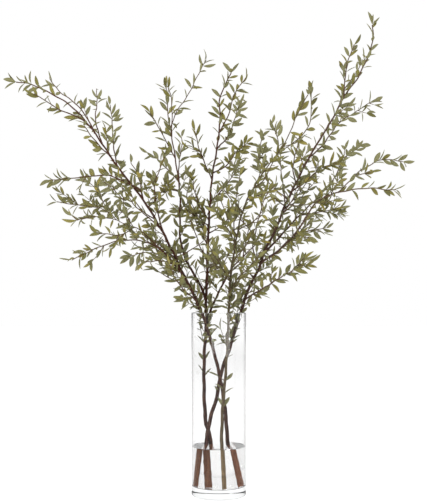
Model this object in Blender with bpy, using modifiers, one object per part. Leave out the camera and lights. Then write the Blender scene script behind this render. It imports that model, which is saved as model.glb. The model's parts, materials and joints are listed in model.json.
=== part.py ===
"""Four cut eucalyptus branches standing in water in a clear glass cylinder vase.

Metres, +Z up, the front toward -Y. The origin is the centre of the vase's flat bottom.
"""

import math
import random

import bmesh
import bpy
from mathutils import Matrix, Vector
from mathutils.bvhtree import BVHTree

# The vase: a straight glass cylinder with a thick solid floor.
VASE_RADIUS = 0.0762
VASE_HEIGHT = 0.508
WALL = 0.004
FLOOR = 0.0280
RIM_ROUNDING = 0.002
FOOT_ROUNDING = 0.0035
VASE_SIDES = 36

WATER_TOP = 0.136
GAP = 0.0003

# The branches are drawn on a front view. One unit of the drawing is 2.79 mm at the vase's
# axis, across is measured to the right and down from the top. The eye is that far in front.
UNIT = 0.00279
AXIS_ACROSS = 218.7
EYE_DOWN = 293.8
EYE_HEIGHT = 0.560
EYE_DISTANCE = 2.389

LEAF_LENGTH = (0.030, 0.038)
LEAF_WIDTH = (0.0090, 0.0125)
LEAF_THICKNESS = 0.0014
LEAF_STEP = 0.063
TWIG_TIP_RADIUS = 0.0010
STEM_STEP = 0.055
TWIG_STEP = 0.050
SEED = 11

# Each branch: the stem's foot in the vase in mm (across, depth), its radius in mm at the foot,
# at the water and at the tip, its points (across, down, depth in mm), and then its side shoots.
# A shoot is its name, what it grows from, the depth in mm that its tip reaches (plus is to the
# back), its radius in mm at its root and its points (across, down).
BRANCHES = {
    "branch_right": {
        "foot": (-44, 18),
        "radius": (4.7, 5.9, 1.5),
        "stem": [
            (206.5, 440, 20), (208, 430, 20), (211, 415, 20), (216, 400, 20), (222, 370, 19), (231, 345, 17),
            (240, 315, 14), (248, 290, 8), (258, 270, 2), (266, 248, 0), (275, 231, -4), (284, 208, -8),
            (293, 189, -10), (306, 163, -8), (317, 144, 0), (333, 118, 10), (345, 95, 16), (357, 79, 22),
            (369, 54, 30), (373, 38, 36), (372.5, 25, 40),
        ],
        "shoots": [
            ("upper_right", "stem", 220, 2.8, [(264, 253), (276, 241), (296, 219), (316, 199), (333, 180),
                                               (342, 160), (345, 150)]),
            ("upper_right_fork", "upper_right", 260, 1.6, [(343, 158), (354, 151), (361, 145)]),
            ("long_right", "stem", -260, 3.0, [(262, 263), (279, 250), (298, 230), (314, 205), (328, 196),
                                               (345, 191), (370, 188), (384, 189.5), (396, 190)]),
            ("far_right", "long_right", -60, 2.0, [(338, 192.5), (349, 182), (358, 172.5), (371, 164.5),
                                                   (383, 159.5), (403, 161.5)]),
            ("far_right_fork", "far_right", -190, 1.4, [(354, 177), (363, 174), (371, 172)]),
            ("low_right", "stem", -290, 2.2, [(246, 300), (256, 292.5), (268, 285.5), (281, 277), (292, 270.5),
                                              (304, 258)]),
            ("right_a", "long_right", 60, 1.7, [(293, 236), (307, 231), (326, 228)]),
            ("right_b", "long_right", -210, 1.5, [(297, 233), (303, 236), (309, 238)]),
            ("right_c", "upper_right", 10, 1.7, [(300, 216), (316, 213), (333, 209)]),
            ("inner_a", "stem", 190, 1.7, [(285, 205), (283.5, 187), (281, 170), (280.5, 154)]),
            ("inner_b", "stem", -110, 1.8, [(292, 191), (305, 182), (322, 168), (338, 163)]),
            ("top_a", "stem", 210, 1.9, [(312, 160), (322, 146), (332, 132), (341, 121), (354, 113),
                                         (369, 103)]),
            ("top_b", "stem", -80, 1.6, [(343, 97), (345, 81), (347, 64), (354, 45)]),
            ("top_c", "stem", 120, 1.6, [(338, 106), (344, 90), (354, 76), (365, 58)]),
            ("inner_c", "stem", -150, 1.8, [(255, 262), (253, 250), (256, 230), (261, 210), (266, 196),
                                            (275, 185)]),
            ("inner_d", "stem", -140, 1.7, [(297, 184), (293, 167), (297, 148), (299, 140)]),
            ("inner_e", "stem", 180, 1.4, [(304, 167), (301, 158), (299, 148)]),
        ],
    },
    "branch_middle": {
        "foot": (-18, 32),
        "radius": (6.8, 6.0, 1.6),
        "stem": [
            (210.5, 440, 34), (208, 430, 34), (205.5, 420, 35), (204, 395, 37), (204, 358, 39), (206, 325, 42),
            (206, 300, 48), (207, 275, 56), (208, 245, 62), (209.5, 212, 68), (212, 178, 76), (217, 148, 86),
            (220, 120, 94), (220, 98, 102), (231, 73, 112),
        ],
        "shoots": [
            ("limb_left", "stem", 20, 4.2, [(206, 299), (198, 281), (187, 262), (180.5, 240), (180, 215),
                                            (180, 192), (177, 170), (174, 150), (170.5, 130), (167.5, 110),
                                            (167.5, 100), (166, 86)]),
            ("limb_left_a", "limb_left", -90, 1.6, [(172, 137), (172, 118), (171.5, 100), (168.5, 88)]),
            ("limb_left_b", "limb_left", 160, 1.9, [(172, 128), (177, 111), (188, 95), (198, 75), (206, 60)]),
            ("limb_left_c", "limb_left", -60, 1.7, [(175, 158), (168, 145), (159, 128), (150, 113)]),
            ("limb_left_d", "limb_left", 230, 1.6, [(179, 182), (179, 164), (182, 144), (181.5, 137)]),
            ("limb_left_e", "limb_left", 130, 1.6, [(178, 180), (168, 170), (156, 158), (148, 153)]),
            ("limb_left_f", "limb_left", -60, 1.5, [(180, 192), (168, 189), (157, 195)]),
            ("middle_a", "stem", 200, 2.0, [(207, 245), (199, 229), (193, 213), (187, 198), (190, 178)]),
            ("middle_b", "stem", -50, 1.7, [(208, 220), (200, 207), (195, 193), (193, 181)]),
            ("middle_c", "stem", -60, 1.7, [(206, 262), (199, 244), (194, 229), (190, 220)]),
            ("middle_d", "stem", -30, 1.7, [(212, 179), (206, 166), (199, 148), (195, 131)]),
            ("middle_e", "stem", 290, 1.8, [(217, 149), (228, 136), (235, 118), (240, 100)]),
            ("middle_f", "stem", 40, 1.7, [(221, 133), (228, 116), (235, 93), (246, 78)]),
            ("middle_g", "stem", -40, 1.7, [(213, 173), (226, 166), (236, 152), (246, 144)]),
            ("middle_h", "stem", 240, 1.7, [(212, 202), (222, 190), (234, 174), (240, 160)]),
            ("limb_back", "stem", 215, 3.4, [(205, 330), (208, 318), (215, 300), (223, 284), (232, 268),
                                             (243, 257), (255, 245), (268, 236), (276, 230)]),
            ("limb_back_a", "limb_back", 330, 1.7, [(223, 284), (222, 270), (218, 255), (216, 243)]),
            ("limb_back_b", "limb_back", 200, 1.7, [(243, 257), (246, 240), (251, 225), (262, 212)]),
        ],
    },
    "branch_left": {
        "foot": (43, 16),
        "radius": (6.1, 5.7, 1.4),
        "stem": [
            (227.4, 440, 14), (226, 418, 11), (222, 388, 4), (216.5, 362, -4), (210, 338, -12), (203.5, 318, -18),
            (196, 300, -24), (189, 285, -30), (181, 270, -36), (173, 252, -42), (161, 229, -50), (146, 204, -56),
            (131, 184, -60), (117, 166, -62), (103, 145, -62), (88, 124, -60), (71, 106, -56), (50, 93, -50),
            (30, 84, -44), (16, 82, -40),
        ],
        "shoots": [
            ("left_arch", "stem", -190, 2.0, [(143, 199), (140, 190), (127, 183), (109, 175.5), (88, 176.5),
                                              (65, 179), (50, 180)]),
            ("left_a", "stem", 60, 1.6, [(143, 199), (140, 183), (136, 171), (131, 163)]),
            ("limb_low", "stem", -130, 3.6, [(185, 277), (171, 260), (155, 244), (140, 230), (131, 226)]),
            ("left_b", "limb_low", 130, 1.8, [(133, 226), (126, 213), (123, 197), (121, 166)]),
            ("left_c", "stem", -170, 1.6, [(161, 230), (148, 217), (137, 208), (130, 199)]),
            ("left_d", "left_b", 210, 1.4, [(124, 200), (115, 191), (103, 181)]),
            ("left_e", "stem", -170, 1.9, [(164, 236), (158, 214), (154.5, 188), (160, 168), (165, 157)]),
            ("left_f", "stem", 150, 1.7, [(117, 166), (113.5, 145), (112, 119), (110, 105)]),
            ("left_g", "stem", 190, 1.7, [(102, 143), (95.5, 120), (97, 103), (96.5, 89)]),
            ("left_h", "stem", -170, 1.6, [(109, 158), (97, 143), (84, 126)]),
            ("left_i", "stem", -180, 1.7, [(90, 126), (78, 117), (60, 110), (43, 99), (34, 94)]),
            ("left_j", "stem", 60, 1.7, [(95, 133), (87, 118), (76, 104), (59, 91), (50, 79)]),
            ("low_a", "limb_low", 60, 2.4, [(131, 229), (117, 220), (103, 202), (93, 186), (84, 178)]),
            ("low_b", "low_a", -290, 1.8, [(117, 220), (97, 216.5), (77, 220)]),
            ("low_c", "low_a", -140, 1.8, [(113, 214), (99, 208), (78, 205), (57, 202)]),
            ("low_d", "limb_low", -280, 1.7, [(133, 232), (120, 235), (107, 234), (97, 233)]),
            ("low_arch", "limb_low", -200, 2.1, [(160, 249), (146, 242), (131, 240), (116, 241.5), (97, 248),
                                                 (72, 260)]),
            ("low_e", "limb_low", 190, 1.7, [(172, 259), (158, 254), (144, 252.5), (131, 256)]),
            ("low_f", "limb_low", -190, 1.5, [(175, 265), (162, 261), (145, 262)]),
            ("low_g", "stem", -150, 1.7, [(196, 301), (184, 290), (175, 278), (170, 265)]),
        ],
    },
    "branch_centre": {
        "foot": (13, -30),
        "radius": (5.4, 4.9, 1.4),
        "stem": [
            (221.5, 440, -29), (222.5, 410, -27), (225, 380, -26), (227.5, 340, -29), (229, 300, -34), (230.5, 276, -48),
            (234, 252, -66), (240, 221, -92), (247, 200, -112), (257, 182, -128), (270, 163, -146),
            (279, 152, -160),
        ],
        "shoots": [
            ("centre_a", "stem", -110, 1.4, [(279, 152), (277, 136), (272, 124)]),
            ("centre_b", "stem", -300, 1.5, [(279, 152), (288, 137), (297, 115), (308, 95)]),
            ("centre_c", "stem", -200, 1.5, [(279, 152), (293, 143), (304, 133), (311, 118), (310.5, 92)]),
            ("centre_d", "stem", -60, 1.5, [(265, 169), (259, 158), (262, 138)]),
            ("centre_e", "stem", -210, 1.6, [(239, 230), (251, 223), (262, 215)]),
            ("centre_f", "stem", -190, 1.7, [(236, 243), (227, 228), (219, 214)]),
            ("centre_g", "stem", -40, 1.7, [(235, 247), (234, 224), (237, 193), (240, 176)]),
            ("centre_h", "stem", -250, 1.5, [(247, 200), (257, 196), (268, 192)]),
            ("centre_i", "stem", -240, 1.5, [(253, 188), (263, 181), (273, 162)]),
            ("centre_j", "stem", -170, 1.8, [(230, 290), (240, 276), (252, 264), (262, 250)]),
            ("centre_k", "stem", -230, 1.8, [(230, 280), (221, 266), (212, 252), (205, 236)]),
        ],
    },
}

# Short leafy shoots low on each stem, which make the dense mass above the rim.
FILLERS = {"branch_right": 7, "branch_middle": 8, "branch_left": 7, "branch_centre": 6}
FILLER_HEIGHT = (0.545, 0.800)
FILLER_LENGTH = (0.070, 0.130)

COLOURS = {
    "vase_glass": (0.86, 0.89, 0.90),
    "water": (0.80, 0.86, 0.88),
    "branch_right": (0.190, 0.200, 0.060),
    "branch_middle": (0.170, 0.185, 0.060),
    "branch_left": (0.185, 0.200, 0.065),
    "branch_centre": (0.200, 0.215, 0.075),
}


def new_collection(name):
    made = bpy.data.collections.new(name)
    bpy.context.scene.collection.children.link(made)
    return made


def material_for(name, roughness, transmission=0.0):
    made = bpy.data.materials.new(name)
    made.use_nodes = True
    shader = made.node_tree.nodes["Principled BSDF"]
    shader.inputs["Base Color"].default_value = (*COLOURS[name], 1.0)
    shader.inputs["Roughness"].default_value = roughness
    shader.inputs["Metallic"].default_value = 0.0
    shader.inputs["Transmission Weight"].default_value = transmission
    return made


def object_of(name, mesh, collection):
    made = bpy.data.objects.new(name, mesh)
    collection.objects.link(made)
    return made


def evaluated_mesh(thing):
    bpy.context.view_layer.update()
    graph = bpy.context.evaluated_depsgraph_get()
    return bpy.data.meshes.new_from_object(thing.evaluated_get(graph))


# The vase

def make_vase(collection):
    """A profile that runs up the inside, over the rim and down the outside, turned about Z."""
    inner = VASE_RADIUS - WALL
    middle = VASE_RADIUS - WALL / 2
    profile = [(0.0, FLOOR), (inner, FLOOR)]
    for turn in (180, 130, 90, 50, 0):
        along = math.radians(turn)
        profile.append((middle + WALL / 2 * math.cos(along),
                        VASE_HEIGHT - RIM_ROUNDING + RIM_ROUNDING * math.sin(along)))
    for turn in (0, 45, 90):
        along = math.radians(turn)
        profile.append((VASE_RADIUS - FOOT_ROUNDING + FOOT_ROUNDING * math.cos(along),
                        FOOT_ROUNDING - FOOT_ROUNDING * math.sin(along)))
    profile.append((0.0, 0.0))
    mesh = bpy.data.meshes.new("vase_glass")
    points = [(across, 0.0, up) for across, up in profile]
    mesh.from_pydata(points, [(i, i + 1) for i in range(len(points) - 1)], [])
    vase = object_of("vase_glass", mesh, collection)
    screw = vase.modifiers.new("turn", "SCREW")
    screw.axis = "Z"
    screw.steps = VASE_SIDES
    screw.render_steps = VASE_SIDES
    screw.use_merge_vertices = True
    screw.merge_threshold = 0.0001
    mesh.materials.append(material_for("vase_glass", 0.02, 1.0))
    return vase


# Routes

def at(across, down, depth):
    """The place that the front view shows at (across, down), that deep in metres."""
    scale = (EYE_DISTANCE + depth) / EYE_DISTANCE
    return Vector(((across - AXIS_ACROSS) * UNIT * scale, depth,
                   EYE_HEIGHT + (EYE_DOWN - down) * UNIT * scale))


def on_drawing(place):
    scale = (EYE_DISTANCE + place.y) / EYE_DISTANCE
    return Vector((AXIS_ACROSS + place.x / UNIT / scale,
                   EYE_DOWN - (place.z - EYE_HEIGHT) / UNIT / scale))


def resample(points, step):
    """Points at even distances along the smooth curve through the given ones."""
    ends = [2 * points[0] - points[1]] + list(points) + [2 * points[-1] - points[-2]]
    fine = []
    for a, b, c, d in zip(ends, ends[1:], ends[2:], ends[3:]):
        for i in range(12):
            t = i / 12
            fine.append(0.5 * (2 * b + (c - a) * t + (2 * a - 5 * b + 4 * c - d) * t * t
                               + (3 * b - a - 3 * c + d) * t ** 3))
    fine.append(points[-1].copy())
    along = [0.0]
    for a, b in zip(fine, fine[1:]):
        along.append(along[-1] + (b - a).length)
    count = max(2, round(along[-1] / step))
    made, at_point = [], 0
    for i in range(count + 1):
        wanted = along[-1] * i / count
        while at_point < len(fine) - 2 and along[at_point + 1] < wanted:
            at_point += 1
        span = max(along[at_point + 1] - along[at_point], 1e-9)
        made.append(fine[at_point].lerp(fine[at_point + 1], min(1.0, (wanted - along[at_point]) / span)))
    return made


def radii_between(count, root, tip):
    return [root + (tip - root) * (i / (count - 1)) ** 0.8 for i in range(count)]


def stem_route(branch):
    """The foot stands on the vase's floor, and the stem is straight up to just above the water."""
    upper = [at(across, down, depth / 1000) for across, down, depth in branch["stem"]]
    cut_end, at_water, tip = (radius / 1000 for radius in branch["radius"])
    foot = Vector((branch["foot"][0] / 1000, branch["foot"][1] / 1000, FLOOR))
    lean = (upper[0] - foot).normalized()
    foot.z = FLOOR + GAP + cut_end * math.sqrt(1 - lean.z ** 2)
    points = resample(upper, STEM_STEP)
    return [foot] + points, [cut_end] + radii_between(len(points), at_water, tip)


def joint_on(parent, across, down):
    """The point of the parent's middle line nearest on the drawing, and the radius there."""
    points, radii = parent
    spot = Vector((across, down))
    best = None
    for i in range(len(points) - 1):
        a, b = on_drawing(points[i]), on_drawing(points[i + 1])
        t = max(0.0, min(1.0, (spot - a).dot(b - a) / max((b - a).length_squared, 1e-9)))
        gap = (a.lerp(b, t) - spot).length
        if best is None or gap < best[0]:
            best = (gap, points[i].lerp(points[i + 1], t), radii[i] + (radii[i + 1] - radii[i]) * t)
    return best[1], best[2]


def shoot_route(parent, tip_depth, radius, drawn):
    root, room = joint_on(parent, *drawn[0])
    flat = [on_drawing(root)] + [Vector(point) for point in drawn[1:]]
    along = [0.0]
    for a, b in zip(flat, flat[1:]):
        along.append(along[-1] + (b - a).length)
    places = [root]
    for spot, reached in zip(flat[1:], along[1:]):
        depth = root.y + (tip_depth - root.y) * (reached / along[-1]) ** 1.15
        places.append(at(spot.x, spot.y, depth))
    points = resample(places, TWIG_STEP)
    return points, radii_between(len(points), min(radius, 0.85 * room), TWIG_TIP_RADIUS)


def filler_route(parent, chance):
    """A short shoot that leaves the stem to any side and rises."""
    points, radii = parent
    inside = [i for i, place in enumerate(points) if FILLER_HEIGHT[0] < place.z < FILLER_HEIGHT[1]]
    i = chance.choice(inside)
    root = points[i].lerp(points[i + 1], chance.random())
    turn = chance.uniform(0, 2 * math.pi)
    length = chance.uniform(*FILLER_LENGTH)
    side = Vector((math.cos(turn), math.sin(turn), 0.0))
    out = side * chance.uniform(0.6, 0.9) + Vector((0, 0, chance.uniform(0.35, 0.8)))
    out.normalize()
    places = [root, root + out * length * 0.5 - Vector((0, 0, 0.004)),
              root + out * length + Vector((0, 0, chance.uniform(-0.006, 0.02)))]
    made = resample(places, TWIG_STEP)
    return made, radii_between(len(made), min(0.0015, 0.8 * radii[i]), TWIG_TIP_RADIUS)


# Solids

def tube(name, points, radii, collection, resolution):
    """A tapering tube along a path, as a closed mesh."""
    curve = bpy.data.curves.new(name, "CURVE")
    curve.dimensions = "3D"
    curve.bevel_depth = radii[0]
    curve.bevel_resolution = resolution
    curve.use_fill_caps = True
    spline = curve.splines.new("POLY")
    spline.points.add(len(points) - 1)
    for point, place, radius in zip(spline.points, points, radii):
        point.co = (*place, 1.0)
        point.radius = radius / radii[0]
    guide = object_of(name + "_path", curve, collection)
    mesh = evaluated_mesh(guide)
    bpy.data.objects.remove(guide)
    work = bmesh.new()
    work.from_mesh(mesh)
    bmesh.ops.remove_doubles(work, verts=work.verts, dist=1e-6)
    bmesh.ops.recalc_face_normals(work, faces=work.faces)
    work.to_mesh(mesh)
    work.free()
    mesh.name = name
    return object_of(name, mesh, collection)


def leaf_mesh(length, width, arch, root_back=0.0012, grow=0.0):
    """A narrow pointed blade from a sphere with three sides and two rings. Its root is at the
    origin and it points along +X, with its face to +Z and the rib along its underside."""
    work = bmesh.new()
    bmesh.ops.create_uvsphere(work, u_segments=3, v_segments=3, radius=1.0)
    for vert in work.verts:
        near = vert.co.z > 0
        if math.hypot(vert.co.x, vert.co.y) < 1e-4:
            along = -root_back if near else length + grow
            sideways, up = 0.0, 0.0
        else:
            along = length * (0.36 if near else 0.72)
            corner = round(math.degrees(math.atan2(vert.co.y, vert.co.x)) / 120) % 3
            half = width / 2 * (1.0 if near else 0.72) + grow
            rib = LEAF_THICKNESS * (1.0 if near else 0.8) + 2 * grow
            sideways, up = ((0.0, grow - rib), (half, grow), (-half, grow))[corner]
        share = max(0.0, along) / length
        vert.co = Vector((along, sideways, up - arch * length * share ** 2))
    bmesh.ops.recalc_face_normals(work, faces=work.faces)
    return work


def leaf_frame(root, twig, out, roll):
    """Along the leaf, across it and up out of its face, at its root."""
    face = (twig - out * twig.dot(out)).normalized()
    across = face.cross(out)
    frame = Matrix((out, across, face)).transposed().to_4x4()
    return Matrix.Translation(root) @ frame @ Matrix.Rotation(roll, 4, "X")


def tree_of(work):
    return BVHTree.FromBMesh(work)


class Room:
    """What is already in place, so that no leaf crosses another, a twig or the glass."""

    def __init__(self):
        self.tubes = []
        self.leaves = []

    def add_tube(self, branch, thing):
        work = bmesh.new()
        work.from_mesh(thing.data)
        self.tubes.append((branch, tree_of(work)))
        work.free()

    def free_for(self, branch, whole, outer, centre, reach):
        for owner, tree in self.tubes:
            if (outer if owner == branch else whole).overlap(tree):
                return False
        for owner, tree, other, other_reach in self.leaves:
            if (centre - other).length > reach + other_reach:
                continue
            if (outer if owner == branch else whole).overlap(tree):
                return False
        return True


def leaf_spots(points, radii, chance, start, step):
    """Leaves on alternate sides along a shoot, each turned on from the last, then its tip."""
    along = [0.0]
    for a, b in zip(points, points[1:]):
        along.append(along[-1] + (b - a).length)
    spots = []
    reached = start
    turn = chance.uniform(0, math.pi)
    while reached < along[-1] - 0.012:
        i = max(k for k in range(len(points) - 1) if along[k] <= reached)
        share = (reached - along[i]) / (along[i + 1] - along[i])
        twig = (points[i + 1] - points[i]).normalized()
        spots.append((points[i].lerp(points[i + 1], share), twig, turn, chance.uniform(42, 66)))
        turn += math.pi * 0.75 + chance.uniform(-0.4, 0.4)
        reached += step * chance.uniform(0.85, 1.15)
    twig = (points[-1] - points[-2]).normalized()
    spots.append((points[-1] - twig * 0.003, twig, turn, chance.uniform(6, 18)))
    return spots


def place_leaf(room, branch, spot, chance, collection, count):
    """Tries a few turns, and leaves the leaf out where none is clear."""
    root, twig, turn, angle = spot
    length = chance.uniform(*LEAF_LENGTH)
    width = chance.uniform(*LEAF_WIDTH)
    arch = chance.uniform(-0.06, 0.16)
    helper = Vector((0, 0, 1)) if abs(twig.z) < 0.9 else Vector((1, 0, 0))
    first = twig.cross(helper).normalized()
    second = twig.cross(first).normalized()
    for attempt in range(7):
        swing = turn + (0, 0.5, -0.5, 0.9, -0.9, 1.3, -1.3)[attempt] * (1 + 0.1 * chance.random())
        open_by = math.radians(angle + (0, 0, 0, -8, 8, 12, -12)[attempt])
        sideways = first * math.cos(swing) + second * math.sin(swing)
        out = (twig * math.cos(open_by) + sideways * math.sin(open_by)).normalized()
        frame = leaf_frame(root, twig, out, chance.uniform(-0.6, 0.6))
        fat = leaf_mesh(length, width, arch, 0.0, 0.0006)
        fat.transform(frame)
        whole = tree_of(fat)
        fat.free()
        far = leaf_mesh(length, width, arch, -0.2 * length, 0.0004)
        far.transform(frame)
        outer = tree_of(far)
        far.free()
        centre = root + out * length / 2
        if room.free_for(branch, whole, outer, centre, length * 0.62):
            room.leaves.append((branch, whole, centre, length * 0.62))
            work = leaf_mesh(length, width, arch)
            work.transform(frame)
            mesh = bpy.data.meshes.new(f"{branch}_leaf_{count}")
            work.to_mesh(mesh)
            work.free()
            object_of(f"{branch}_leaf_{count}", mesh, collection)
            return True
    return False


def unite(trunk, pieces, material):
    """Joins the stem with its shoots and leaves into one solid."""
    join = trunk.modifiers.new("join", "BOOLEAN")
    join.operation = "UNION"
    join.operand_type = "COLLECTION"
    join.collection = pieces
    join.solver = "EXACT"
    whole = evaluated_mesh(trunk)
    trunk.modifiers.clear()
    trunk.data = whole
    whole.name = trunk.name
    whole.materials.clear()
    whole.materials.append(material)
    for thing in list(pieces.objects):
        bpy.data.objects.remove(thing)
    bpy.data.collections.remove(pieces)


# Water

def make_water(collection, cutters, stems):
    """Fills the vase's foot, with a plain hole for each stem."""
    low = FLOOR + GAP
    bpy.ops.mesh.primitive_cylinder_add(vertices=VASE_SIDES, radius=VASE_RADIUS - WALL - GAP,
                                        depth=WATER_TOP - low, location=(0, 0, (WATER_TOP + low) / 2))
    water = bpy.context.object
    water.name = "water"
    water.data.name = "water"
    for owner in list(water.users_collection):
        owner.objects.unlink(water)
    collection.objects.link(water)
    water.data.materials.append(material_for("water", 0.02, 1.0))
    for name, (points, radii) in stems.items():
        foot, above = points[0], points[1]
        line = (above - foot).normalized()
        span = (above - foot).length
        flare = (radii[1] - radii[0]) / span * 0.02
        bpy.ops.mesh.primitive_cone_add(vertices=12, depth=span + 0.04,
                                        radius1=(radii[0] - flare + GAP) / math.cos(math.pi / 12),
                                        radius2=(radii[1] + flare + GAP) / math.cos(math.pi / 12))
        cutter = bpy.context.object
        cutter.name = "hole_for_" + name
        cutter.matrix_world = (Matrix.Translation((foot + above) / 2)
                               @ line.to_track_quat("Z", "Y").to_matrix().to_4x4())
        for owner in list(cutter.users_collection):
            owner.objects.unlink(cutter)
        cutters.objects.link(cutter)
        cutter.hide_render = True
        cutter.display_type = "WIRE"
        cut = water.modifiers.new(cutter.name, "BOOLEAN")
        cut.operation = "DIFFERENCE"
        cut.object = cutter
    return water


def main():
    for thing in list(bpy.data.objects):
        bpy.data.objects.remove(thing)
    model = new_collection("vase_of_eucalyptus")
    cutters = new_collection("cutters")
    room = Room()

    vase = make_vase(model)
    glass = object_of("glass_shape", evaluated_mesh(vase), cutters)
    room.add_tube("vase_glass", glass)
    bpy.data.objects.remove(glass)

    routes, stems, trunks, groups = {}, {}, {}, {}
    chance = random.Random(SEED)
    for name, branch in BRANCHES.items():
        routes[name] = {"stem": stem_route(branch)}
        stems[name] = routes[name]["stem"]
        for shoot, parent, tip_depth, radius, drawn in branch["shoots"]:
            routes[name][shoot] = shoot_route(routes[name][parent], tip_depth / 1000, radius / 1000, drawn)
        for i in range(FILLERS[name]):
            routes[name][f"filler_{i}"] = filler_route(stems[name], chance)

    for name, found in routes.items():
        groups[name] = new_collection(name + "_pieces")
        for part, (points, radii) in found.items():
            if part == "stem":
                trunks[name] = tube(name, points, radii, model, 1)
                room.add_tube(name, trunks[name])
            else:
                room.add_tube(name, tube(f"{name}_{part}", points, radii, groups[name], 0))

    for name, found in routes.items():
        placed = 0
        for part, (points, radii) in found.items():
            start = 0.24 if part == "stem" else chance.uniform(0.024, 0.040)
            for spot in leaf_spots(points, radii, chance, start, LEAF_STEP):
                placed += place_leaf(room, name, spot, chance, groups[name], placed)
        print(name, placed, "leaves")

    for name, trunk in trunks.items():
        unite(trunk, groups[name], material_for(name, 0.6))
    make_water(model, cutters, stems)
    for thing in model.objects:
        thing.data.shade_smooth()
        thing.data.set_sharp_from_angle(angle=math.radians(35))


main()
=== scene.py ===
import json
import math
import random

import bmesh
import bpy
from mathutils import Matrix, Vector

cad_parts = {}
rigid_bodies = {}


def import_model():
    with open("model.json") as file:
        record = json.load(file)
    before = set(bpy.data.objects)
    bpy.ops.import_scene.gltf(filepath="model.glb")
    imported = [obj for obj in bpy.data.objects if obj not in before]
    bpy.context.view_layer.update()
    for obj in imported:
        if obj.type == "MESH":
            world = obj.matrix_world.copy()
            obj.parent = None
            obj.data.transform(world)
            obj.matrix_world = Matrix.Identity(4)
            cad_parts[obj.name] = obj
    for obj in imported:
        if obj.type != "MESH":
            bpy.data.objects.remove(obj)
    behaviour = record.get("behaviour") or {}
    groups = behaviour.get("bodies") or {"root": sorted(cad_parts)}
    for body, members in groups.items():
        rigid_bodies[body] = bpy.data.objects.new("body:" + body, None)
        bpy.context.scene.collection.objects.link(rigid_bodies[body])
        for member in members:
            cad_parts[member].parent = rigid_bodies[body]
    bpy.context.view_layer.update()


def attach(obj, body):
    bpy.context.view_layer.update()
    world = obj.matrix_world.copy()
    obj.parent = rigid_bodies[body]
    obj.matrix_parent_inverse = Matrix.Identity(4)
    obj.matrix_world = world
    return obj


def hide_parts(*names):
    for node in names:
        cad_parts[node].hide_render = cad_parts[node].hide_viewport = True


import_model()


# Camera: level, a hand's breadth or less above the rim of the vase, and far enough back for the
# photograph's mild perspective. The shift puts the vase's axis and the eye line where they are there.
EYE_DISTANCE = 2.389
EYE_HEIGHT = 0.560
UNIT = 0.00279
AXIS_ACROSS = 218.7
EYE_DOWN = 293.8
IMAGE_WIDE = 427
IMAGE_HIGH = 504
SENSOR_WIDE = 36


def link_new(name, data):
    made = bpy.data.objects.new(name, data)
    bpy.context.scene.collection.objects.link(made)
    return made


camera = link_new("camera", bpy.data.cameras.new("camera"))
camera.location = (0, -EYE_DISTANCE, EYE_HEIGHT)
camera.rotation_euler = (math.pi / 2, 0, 0)
camera.data.sensor_width = SENSOR_WIDE
camera.data.lens = SENSOR_WIDE / IMAGE_HIGH * EYE_DISTANCE / UNIT
camera.data.shift_x = (IMAGE_WIDE / 2 - AXIS_ACROSS) / IMAGE_HIGH
camera.data.shift_y = (EYE_DOWN - IMAGE_HIGH / 2) / IMAGE_HIGH
bpy.context.scene.camera = camera


# Stage: a pale matte floor that runs out of sight, with a painted glow of its own, a white surround that is a
# little dimmer at the corners, so that clear edges show, painted shade on the floor at the same corners and
# in front, which shows only in what the glass lets through and mirrors, two large soft lamps, in front on the
# left and behind on the right, and two standing strips of light that show only as reflections in the glass.
WHITE = (1, 1, 1, 1)
PAPER_WHITE = 0.93
PAPER_GLOW = 0.34
PAPER_THROUGH_GLASS = 0.80
PAPER_CORNER_SHADE = 0.12
PAPER_SIZE = 12.0
PAPER_DROP = 0.0004
AIR_THROUGH_GLASS = 0.13
AIR_CORNERS = 0.02
CORNER_RANGE = (0.16, 0.46)
FRONT_RANGE = (-0.05, 0.65)
FRONT_MIRRORED = 0.15
INSIDE_MIRRORED = 0.65
LAMPS = (
    # name, place, where it aims, width, height and watts
    ("lamp_left", (-2.2, -2.8, 3.4), (0, 0, 0.7), 2.4, 2.4, 95),
    ("lamp_right", (2.8, 1.6, 3.0), (0, 0, 0.8), 2.0, 2.0, 45),
    ("strip_right", (1.14, -1.64, 0.88), (0, 0, 0.88), 0.94, 1.24, 11),
    ("strip_left", (-0.78, -1.84, 0.88), (0, 0, 0.88), 0.40, 1.24, 6),
)


def feed(tree, node, inputs):
    """Sets each input of a node to a plain value or to another node's output."""
    for label, value in inputs.items():
        if isinstance(value, bpy.types.NodeSocket):
            tree.links.new(value, node.inputs[label])
        else:
            node.inputs[label].default_value = value


def add_node(tree, kind, inputs, **settings):
    """Adds a node with its settings and inputs, and returns its outputs."""
    made = tree.nodes.new(kind)
    for label, value in settings.items():
        setattr(made, label, value)
    feed(tree, made, inputs)
    return made.outputs


def maths(tree, operation, *values):
    """The result of a maths node on outputs and numbers."""
    return add_node(tree, "ShaderNodeMath", dict(enumerate(values)), operation=operation)[0]


def ranged(tree, value, low, high, at_low=0.0, at_high=1.0, easing="LINEAR"):
    """A value stretched so that low gives one level and high the other."""
    levels = {"Value": value, "From Min": low, "From Max": high, "To Min": at_low, "To Max": at_high}
    return add_node(tree, "ShaderNodeMapRange", levels, interpolation_type=easing)["Result"]


def new_group(name, kind, inputs, outputs):
    """A node group, the values that it is given, and the node that takes what it makes."""
    tree = bpy.data.node_groups.new(name, kind)
    for way, sockets in (("INPUT", inputs), ("OUTPUT", outputs)):
        for label, carries in sockets.items():
            tree.interface.new_socket(label, in_out=way, socket_type="NodeSocket" + carries)
    return tree, tree.nodes.new("NodeGroupInput").outputs, tree.nodes.new("NodeGroupOutput")


def new_material(name, plain):
    """A material, its tree and its Principled shader with its plain values."""
    made = bpy.data.materials.new(name)
    made.use_nodes = True
    tree = made.node_tree
    feed(tree, tree.nodes["Principled BSDF"], plain)
    return made, tree, tree.nodes["Principled BSDF"]


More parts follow.
